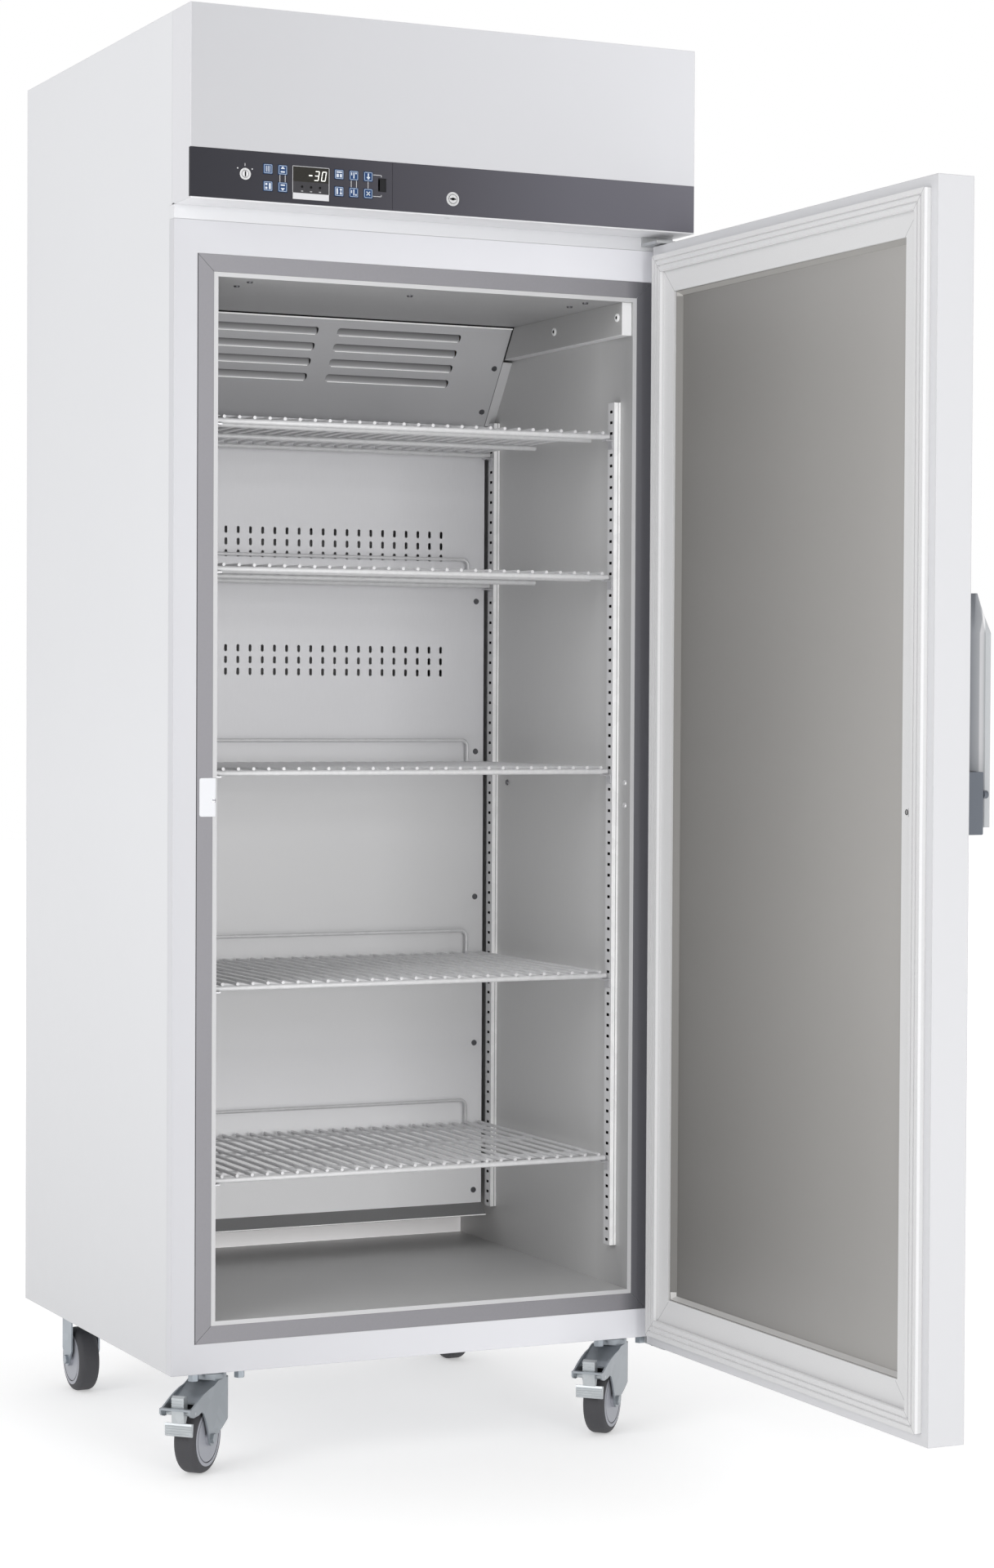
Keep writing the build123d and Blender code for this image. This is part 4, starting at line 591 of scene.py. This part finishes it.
def on_window(name, x1, x2, z1, z2, material=None, rise=0.0002):
    """Printed or lit shape on the display's window, placed from the window's middle in mm."""
    low = (window_x + x1 / 1000, face_y - rise, window_z + z1 / 1000)
    high = (window_x + x2 / 1000, face_y + 0.0001, window_z + z2 / 1000)
    return plate(name, low, high, material or white_ink, "cabinet", 0.00008)


line_width, label_height = 0.6, 8.4
joined("display_frame_line", [
    on_window("line", -half_w, half_w, half_h - line_width, half_h),
    on_window("line", -half_w, half_w, -half_h, -half_h + label_height),
    on_window("line", -half_w, -half_w + line_width, -half_h, half_h),
    on_window("line", half_w - line_width, half_w, -half_h, half_h)])
digit_segments = {"3": "abcdg", "0": "abcdef"}
segment_spots = {"a": (0, 1, 0), "b": (1, 0.5, 1), "c": (1, -0.5, 1), "d": (0, -1, 0), "e": (-1, -0.5, 1),
                 "f": (-1, 0.5, 1), "g": (0, 0, 0)}
digit_w, digit_h, stroke, digit_middle = 6.6, 13.2, 1.2, 10.4
lit = [on_window("bar", -4.6, 0.4, 9.6, 11.2, lit_segment, 0.0003)]
for left, figure in ((3.6, "3"), (13.6, "0")):
    for key in digit_segments[figure]:
        across, along, upright = segment_spots[key]
        x = left + digit_w / 2 + across * (digit_w - stroke) / 2
        z = digit_middle + along * (digit_h - stroke) / 2
        half_x, half_z = digit_w / 2 - stroke / 2, stroke / 2
        if upright:
            half_x, half_z = stroke / 2, digit_h / 4 - 0.45
        lit.append(on_window("bar", x - half_x, x + half_x, z - half_z, z + half_z, lit_segment, 0.0003))
figures = joined("display_figures", lit)
lean = Matrix.Shear("XY", 4, (0.16, 0.0))
figures.data.transform(Matrix.Translation((0, 0, window_z)) @ lean @ Matrix.Translation((0, 0, -window_z)))
dark_lamp = print_ink("dark_lamp", (0.006, 0.006, 0.006), slot="display_black")


def disc(name, centre, radius, depth, material, body, axis="Y", sides=24, dome=0.25):
    """Round button-like piece with a bevelled rim, its face towards the lower end of an axis."""
    alone()
    spin = {"Y": (pi / 2, 0, 0), "X": (0, pi / 2, 0), "Z": (0, 0, 0)}[axis]
    bpy.ops.mesh.primitive_cylinder_add(vertices=sides, radius=radius, depth=depth, location=centre,
                                        rotation=spin)
    piece = bpy.context.object
    piece.name = name
    trim = piece.modifiers.new("rim", "BEVEL")
    trim.width = min(radius, depth) * dome
    trim.segments = 3
    trim.limit_method = "ANGLE"
    bpy.ops.object.modifier_apply(modifier="rim")
    settle(piece, material, body)
    return piece


lamp_places = (-12.6, 0.2, 13.0)
lamp_radius = 1.6
joined("display_lamps", [
    disc("lamp", (window_x + x / 1000, face_y - 0.0002, window_z - 0.0052), lamp_radius / 1000, 0.0012,
         dark_lamp, "cabinet")
    for x in lamp_places])
dim_ink = print_ink("dim_ink", (0.35, 0.35, 0.36))
joined("display_marks", [
    on_window("mark", x - lamp_radius, x + lamp_radius, -11.6, -10.2, dim_ink) for x in lamp_places])


# Push buttons: square blue caps with a pale outline and a white sign, each with its own
# short travel in the band.
blue = Finish("button_blue")
blue_speck = blue.noise(700.0, 2.0)
button_blue = blue.set(Base_Color=blue.mix(blue_speck, (0.008, 0.036, 0.120), (0.013, 0.052, 0.155)),
                       Roughness=blue_speck * 0.08 + 0.30, Specular_IOR_Level=0.25,
                       Normal=blue.bump(blue_speck, 0.00002, 0.3))
outline_ink = print_ink("outline_ink", (0.42, 0.52, 0.66))
sign_ink = print_ink("sign_ink", (0.62, 0.67, 0.74))
sign_strokes = {
    "defrost": ((-3, -2, -4, 4), (-0.5, 0.5, -4, 4), (2, 3, -4, 4)),
    "lamp": ((-4, -1, 1, 4), (1, 4, -4, 4), (-4, -1, -4, -1)),
    "up": ((-1.2, 1.2, 2.6, 4.4), (-2.6, 2.6, 1.2, 2.6), (-3, 3, -3.6, -1.6)),
    "down": ((-1.2, 1.2, -4.4, -2.6), (-2.6, 2.6, -2.6, -1.2), (-3, 3, 1.6, 3.6)),
    "alarm_log": ((-4, 4, 2, 4), (-4, -0.6, -4, 0.6), (0.8, 4, -4, 0.6)),
    "recorder": ((-4, -1.6, -4, 4), (1, 4, 1.6, 4), (1, 4, -4, -1.6), (1.9, 3.1, -1.6, 1.6)),
    "high_limit": ((-4, -2.6, 0, 4), (-0.8, 0.8, -4, 4), (2, 4, 2, 4)),
    "low_limit": ((-4, -2.6, -1, 3), (-0.8, 0.8, -4, 4), (2, 4, -4, -2)),
    "memory": ((-0.9, 0.9, -0.6, 4.2), (-2.4, 2.4, -2.2, -0.6), (-1.1, 1.1, -3.8, -2.2)),
    "cancel": (),
}
outline_reach, outline_width = 0.0058, 0.0007
for key, strokes in sign_strokes.items():
    node = f"button_{key}"
    dress(node, button_blue)
    low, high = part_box(node)
    mid_x, mid_z, cap_y = (low.x + high.x) / 2, (low.z + high.z) / 2, low.y

    def on_cap(x1, x2, z1, z2, ink, rise):
        return plate("mark", (mid_x + x1, cap_y - rise, mid_z + z1), (mid_x + x2, cap_y + 0.0001, mid_z + z2),
                     ink, node, 0.00006)

    far, near = outline_reach, outline_reach - outline_width
    joined(f"outline_{key}", [
        on_cap(*corners, outline_ink, 0.00015)
        for corners in ((-far, far, near, far), (-far, far, -far, -near),
                        (-far, -near, -far, far), (near, far, -far, far))])
    marks = [on_cap(*(v / 1000 for v in stroke_box), sign_ink, 0.0002) for stroke_box in strokes]
    if key == "cancel":
        for slant in (pi / 4, -pi / 4):
            bar = on_cap(-0.0036, 0.0036, -0.0006, 0.0006, sign_ink, 0.0002)
            centre = Vector((mid_x, 0, mid_z))
            bar.data.transform(Matrix.Translation(centre) @ Matrix.Rotation(slant, 4, "Y")
                               @ Matrix.Translation(-centre))
            marks.append(bar)
    joined(f"sign_{key}", marks)


# Lines printed on the band between the paired buttons and round the data slot, and the
# three position marks of the key switch.
band_face = -0.0627


def on_band(x1, x2, z1, z2):
    """Line printed on the band, placed in mm."""
    return plate("line", (x1 / 1000, band_face - 0.0001, above(z1)),
                 (x2 / 1000, band_face + 0.0001, above(z2)), white_ink, "cabinet", 0.00004)


between_buttons = (1594.0, 1603.4)
joined("printed_lines", [
    on_band(left, right_end, *between_buttons) for left, right_end in (
        (-249.6, -248.9), (-242.1, -241.4), (-147.2, -146.5), (-139.6, -138.9), (-122.7, -122.0))] + [
    on_band(-115.0, -102.6, 1612.6, 1613.3), on_band(-103.3, -102.6, 1610.6, 1613.3),
    on_band(-115.0, -102.6, 1584.0, 1584.7), on_band(-103.3, -102.6, 1584.0, 1586.7)])
joined("switch_marks", [
    on_band(-299.1, -298.3, 1611.6, 1615.2), on_band(-309.9, -308.2, 1607.4, 1609.0),
    on_band(-289.4, -287.7, 1607.4, 1609.0)])


# Key switch and header lock: turned brass plugs with a bright plate, and pressed rings
# round them, with dark rings and keyway plates as painted shade. The screws and hinge bolts share
# the same bright finish, painted dark as painted shade on the screws in the cold space.
chrome = Finish("bright_plating")
chrome_cloud = chrome.noise(40.0, 2.0)
shaded_rear_screws = chrome.axis("Y") > 0.365
shaded_ceiling_screws = chrome.within("Z", above(1462), above(1473))
chrome_tone = chrome.mix(chrome_cloud, (0.66, 0.66, 0.67), (0.78, 0.78, 0.79))
# Painted shade: the screws in the cold space are dark.
chrome_tone = chrome.mix(shaded_rear_screws, chrome_tone, (0.16, 0.16, 0.17))
chrome_tone = chrome.mix(shaded_ceiling_screws, chrome_tone, (0.14, 0.14, 0.15))
bright_plating = chrome.set(Base_Color=chrome_tone, Metallic=0.85, Roughness=chrome_cloud * 0.10 + 0.20)
dress("screws_and_lock_rings", bright_plating)
for node in ("key_switch_cylinder", "header_lock_cylinder"):
    dress(node, drawn_steel(f"{node}_face", (0.70, 0.70, 0.71), (9, 9, 9), 0.30, 0.4))
dress("header_lock_bolt", bright_plating)
shade_black = print_ink("shade_black", (0.008, 0.008, 0.009), slot="inlet_black")


def groove_shadow_ring(name, x, z, radius, thick, node):
    """Dark ring of painted shade in the turned groove round a lock plug's face."""
    alone()
    bpy.ops.mesh.primitive_torus_add(major_radius=radius, minor_radius=thick, major_segments=40,
                                     minor_segments=8, rotation=(pi / 2, 0, 0),
                                     location=(x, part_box(node)[0].y + thick * 0.6, z))
    ring = bpy.context.object
    ring.name = name
    settle(ring, shade_black, node_body[node])


def keyway(name, middle, half_width, half_height, corner, body):
    """Dark plate of painted shade for the slot in a lock plug's face, round the plug's middle."""
    x, z = middle
    return plate(name, (x - half_width, plug_face - 0.0001, z - half_height),
                 (x + half_width, plug_face + 0.0002, z + half_height), shade_black, body, corner)


node_body = {"key_switch_cylinder": "key_switch", "header_lock_cylinder": "header_lock"}
switch_middle, lock_middle = (-0.2987, above(1601.0)), (0.0022, above(1588.5))
groove_shadow_ring("key_switch_groove_shadow", *switch_middle, 0.0047, 0.0004, "key_switch_cylinder")
groove_shadow_ring("header_lock_groove_shadow", *lock_middle, 0.0060, 0.0004, "header_lock_cylinder")
plug_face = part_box("key_switch_cylinder")[0].y
keyway("key_switch_keyway", switch_middle, 0.0010, 0.0034, 0.0003, "key_switch")
joined("header_lock_keyway", [keyway("keyway", lock_middle, 0.0040, 0.0009, 0.0003, "header_lock"),
                              keyway("keyway", lock_middle, 0.0020, 0.0019, 0.0006, "header_lock")])


# Rail caps: four white plastic plugs, each with a dark eye of painted shade in its middle, which
# close the holes in the box rails under the ceiling.
cap_plastic = white_paint("cap_plastic", (0.92, 0.92, 0.92), 0.3, 0.0)
cap_plastic["slot"] = "trim_paint"
rail_face, cap_height, rear_cap = 0.29715, above(1452.0), 0.221
for side, inward, front_cap in (("left", 1, 0.0585), ("right", -1, 0.0185)):
    for place, cap_y in (("front", front_cap), ("rear", rear_cap)):
        disc(f"rail_cap_{side}_{place}", (-inward * (rail_face - 0.0008), cap_y, cap_height), 0.006, 0.0026,
             cap_plastic, "cabinet", "X", 28, 0.4)
        disc(f"rail_cap_eye_{side}_{place}", (-inward * (rail_face - 0.0021), cap_y, cap_height), 0.0024,
             0.0006, shade_black, "cabinet", "X", 20, 0.3)


# Sheared edges: a thin glowing plate as a painted highlight under each louvre, along the top of
# the cover and along the duct's lip, and a dark plate as painted shadow where the cover meets the ceiling.
# Painted highlight: pale zinc that glows.
edge_highlight = zinc("edge_highlight", (0.93, 0.93, 0.93), 0.3, 0.1, glow=0.25)
edge_highlight["slot"] = "duct_metal"
louvre_starts, louvre_sides = (18.0, 44.5, 70.5, 96.5), (-216.0, 15.0)
lips = []
for start in louvre_starts:
    y, z = down_slope(start + 12.6, -0.2)
    for left in louvre_sides:
        lips.append(plate("lip", ((left + 4) / 1000, y - 0.0005, z - 0.0006),
                          ((left + 197) / 1000, y + 0.0005, z + 0.0006), edge_highlight, "cabinet", 0.0003))
joined("louvre_lips", lips)
half_sheet = 0.2965
edge_y, edge_z = down_slope(3.0, -0.3)
plate("cover_top_edge", (-half_sheet, edge_y - 0.0009, edge_z - 0.0010),
      (half_sheet, edge_y + 0.0009, edge_z + 0.0009), edge_highlight, "cabinet", 0.0003)
# Painted shadow: a dark plate under the ceiling along the cover's top edge.
plate("cover_top_shadow", (-half_sheet, edge_y - 0.0012, above(1471.0)),
      (half_sheet, edge_y + 0.0012, above(1472.4)), shade_black, "cabinet", 0.0002)
plate("duct_lip_edge", (-half_sheet, 0.4434, above(115.0)), (half_sheet, 0.4446, above(116.4)), edge_highlight,
      "cabinet", 0.0003)


# Door: a steel pan in the casing's coat, hung on two pins, with a grey formed panel in its
# inner face.
dress("door_skin", white_paint("door_paint", (0.622, 0.624, 0.642), 0.34, 0.0015))
panel = Finish("door_panel_grey")
panel_peel = panel.noise(700.0, 2.0)
panel_cloud = panel.noise(1.4, 2.0, (1, 1, 0.5))
# Painted light and shade: the panel is lighter away from the hinge as painted reflection, darker towards its
# foot as painted shade, and its dish's top and bottom walls are paler as painted light.
painted_light_from_hinge = panel.axis("Y") * 1.25
panel_tone = panel.mix(panel_cloud * 0.3 - painted_light_from_hinge, (0.150, 0.146, 0.139), (0.445, 0.433, 0.417))
painted_shade_low = panel.ramp(panel.axis("Z"), 0.75, 0.30, 1.0, 0.88)
panel_tone = panel.mix(1.0, panel_tone, painted_shade_low, "MULTIPLY")
dish_bottom, dish_top = above(78), above(1473.5)
painted_light_foot_wall = panel.within("X", 0.3356, 0.3426) * (panel.axis("Z") < dish_bottom)
panel_tone = panel.mix(painted_light_foot_wall, panel_tone, (0.66, 0.65, 0.64))
painted_light_top_wall = panel.within("X", 0.3356, 0.3426) * (panel.axis("Z") > dish_top)
panel_tone = panel.mix(painted_light_top_wall, panel_tone, (0.46, 0.45, 0.435))
dress("door_inner_panel", panel.set(Base_Color=panel_tone, Metallic=0.3, Roughness=panel_peel * 0.08 + 0.42,
                                    Normal=panel.bump(panel_peel, 0.00002, 0.4)))
dress("door_foam", white_paint("foam_skin", (0.70, 0.62, 0.42), 0.8, 0.0))
foam = Finish("foam_block")
foam_cells = foam.noise(300.0, 3.0)
strike_low, strike_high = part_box("strike_plate")
# Painted light: the foam behind the strike plate is pale and glows, so the plate's hole shows no dark foam.
behind_strike = (foam.within("X", -0.375, strike_high.x + 0.004) * (foam.axis("Y") < 0.04)
                 * foam.within("Z", strike_low.z, strike_high.z))
painted_glow_pale = (0.80, 0.80, 0.82)
foam_tone = foam.mix(foam_cells, (0.64, 0.57, 0.38), (0.70, 0.62, 0.42))
dress("insulation", foam.set(
    Base_Color=foam.mix(behind_strike, foam_tone, painted_glow_pale), Roughness=foam_cells * 0.1 + 0.8,
    Emission_Color=foam.mix(behind_strike, (0, 0, 0), painted_glow_pale), Emission_Strength=0.55))


# Door gasket: a soft white plastic profile with a magnet in its bulb, welded on the mitre
# at each corner.
seal = Finish("gasket_plastic")
seal_speck = seal.noise(500.0, 3.0)
groove_fill_light = seal.within("X", 0.3258, 0.3296)
seal_low, seal_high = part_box("door_gasket")
mitre_width, mitre_reach = 0.0006, 0.056
seal_tone = seal.mix(seal_speck, (0.640, 0.640, 0.645), (0.69, 0.69, 0.695))
for along in (seal.axis("Y") - seal_low.y, seal_high.y - seal.axis("Y")):
    for upright in (seal.axis("Z") - seal_low.z, seal_high.z - seal.axis("Z")):
        mitre = ((along - upright).unsigned() < mitre_width) * (along < mitre_reach)
        seal_tone = seal.mix(mitre, seal_tone, (0.42, 0.42, 0.43))
# Painted light: the grooves glow faintly, which lifts their shade.
dress("door_gasket", seal.set(Base_Color=seal_tone,
                              Emission_Color=seal.mix(groove_fill_light, (0, 0, 0), (0.8, 0.8, 0.81)),
                              Emission_Strength=0.16, Roughness=seal_speck * 0.1 + 0.5,
                              Normal=seal.bump(seal_speck, 0.00005, 0.3, 0.0004)))


# Handle: a moulded grey grip with a hollow for the fingers, and a dark lock block at its
# foot with a turning knob.
def moulded(name, colour, shine):
    """Injection-moulded plastic with a fine spark-eroded grain."""
    finish = Finish(name)
    speck = finish.noise(900.0, 3.0)
    cloud = finish.noise(12.0, 2.0)
    tint = finish.mix(cloud, shade(colour, 0.92), colour)
    return finish.set(Base_Color=tint, Roughness=speck * 0.12 + shine,
                      Normal=finish.bump(speck, 0.00003, 0.4, 0.0008))


grip = Finish("grip_grey")
grip_speck = grip.noise(900.0, 3.0)
door_face, grip_face = 0.3872, 0.4432
# Painted light and shade: the grip's tone runs out from the door, dark as painted shade in the finger hollow,
# then a white band as a painted highlight on its edge, then mid grey.
grip_tone = grip.colours(grip.ramp(grip.axis("X"), door_face, grip_face), (
    (0.0, (0.07, 0.08, 0.095)), (0.40, (0.11, 0.12, 0.135)), (0.60, (0.24, 0.25, 0.27)),
    (0.73, (0.42, 0.43, 0.45)), (0.75, (0.76, 0.76, 0.77)), (0.79, (0.76, 0.76, 0.77)),
    (0.82, (0.46, 0.475, 0.49))))
dress("handle_grip", grip.set(Base_Color=grip_tone, Roughness=grip_speck * 0.12 + 0.30,
                              Normal=grip.bump(grip_speck, 0.00003, 0.3, 0.0018)))
slate = moulded("lock_slate", (0.115, 0.130, 0.155), 0.35)
dress("lock_block", slate)
dress("handle_lock_knob", slate)
dress("handle_lock_bolt", bright_plating)
bolt_x, bolt_y, bolt_z = 0.3322, -0.7005, 0.9060
# A dark ring of painted shade marks the bolt's hole.
alone()
bpy.ops.mesh.primitive_torus_add(major_radius=0.0031, minor_radius=0.0005, major_segments=32,
                                 minor_segments=8, rotation=(0, pi / 2, 0),
                                 location=(bolt_x, bolt_y, bolt_z))
bolt_ring = bpy.context.object
bolt_ring.name = "bolt_hole_shadow"
settle(bolt_ring, shade_black, "door")
keeper_plastic = moulded("keeper_plastic", (0.42, 0.42, 0.43), 0.4)
keeper_plastic["slot"] = "handle_grey"
plate("bolt_keeper", (bolt_x - 0.0003, bolt_y - 0.0065, bolt_z - 0.0055),
      (bolt_x + 0.0001, bolt_y - 0.0037, bolt_z + 0.0050), keeper_plastic, "door", 0.0001)
dress("hinge_bushes", moulded("bush_plastic", (0.12, 0.12, 0.13), 0.4))
dress("hinge_brackets", zinc("hinge_zinc", (0.62, 0.63, 0.64)))


# Castors: pressed zinc-plated forks with grey rubber tyres on plastic cores, and ribbed
# brake pedals on the front pair.
dress("castor_frames", zinc("frame_zinc", (0.42, 0.46, 0.50)))
for side in ("left", "right"):
    dress(f"castor_fork_{side}", zinc(f"fork_zinc_{side}", (0.37, 0.40, 0.43), 0.24, 0.65))
    dress(f"brake_pedal_{side}", zinc(f"pedal_zinc_{side}", (0.56, 0.59, 0.61), 0.28, 0.7))
tyre_start, groove_shade_start, groove_shade_end = 0.03795, 0.0322, 0.0334
for end in ("front", "rear"):
    for side in ("left", "right"):
        node = f"wheel_{end}_{side}"
        low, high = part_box(node)
        centre = (low + high) / 2
        wheel = Finish(f"{node}_rubber")
        axle = (1.0, 0.0, 0.0) if end == "rear" else (-cos(pi / 4), cos(pi / 4), 0.0)
        offset = wheel.node("ShaderNodeVectorMath", {"operation": "SUBTRACT"},
                            {0: wheel.place, 1: tuple(centre)})
        turned = wheel.node("ShaderNodeVectorMath", {"operation": "CROSS_PRODUCT"}, {0: offset, 1: axle})
        radius = wheel.node("ShaderNodeVectorMath", {"operation": "LENGTH"}, {0: turned})["Value"]
        tyre = radius > tyre_start
        speck = wheel.noise(600.0, 3.0)
        rubber = wheel.mix(speck, (0.041, 0.041, 0.046), (0.056, 0.056, 0.062))
        core = wheel.mix(speck, (0.33, 0.34, 0.38), (0.38, 0.39, 0.43))
        # Painted shadow: a dark ring on the core under the step of its rim.
        core = wheel.mix((radius > groove_shade_start) * (radius < groove_shade_end), core, (0.05, 0.05, 0.055))
        dress(node, wheel.set(Base_Color=wheel.mix(tyre, core, rubber), Roughness=tyre * 0.2 + 0.42,
                              Normal=wheel.bump(speck, 0.00005, 0.3)))


# Cooling unit: black compressor and condenser, copper pipes, and the aluminium coil and
# plastic fans, out of sight behind the header and the cover.
black = moulded("unit_black", (0.030, 0.030, 0.033), 0.4)
for node in ("compressor", "condenser_coil", "fan_motors", "power_inlet"):
    dress(node, black)
for node in ("evaporator_fan", "condenser_fan"):
    dress(node, moulded(f"{node}_plastic", (0.045, 0.045, 0.048), 0.45))
dress("evaporator_coil", drawn_steel("coil_metal", (0.55, 0.55, 0.57), (1, 1, 9), 0.4))
dress("refrigerant_pipes", drawn_steel("pipe_copper", (0.55, 0.27, 0.16), (9, 9, 1), 0.35))
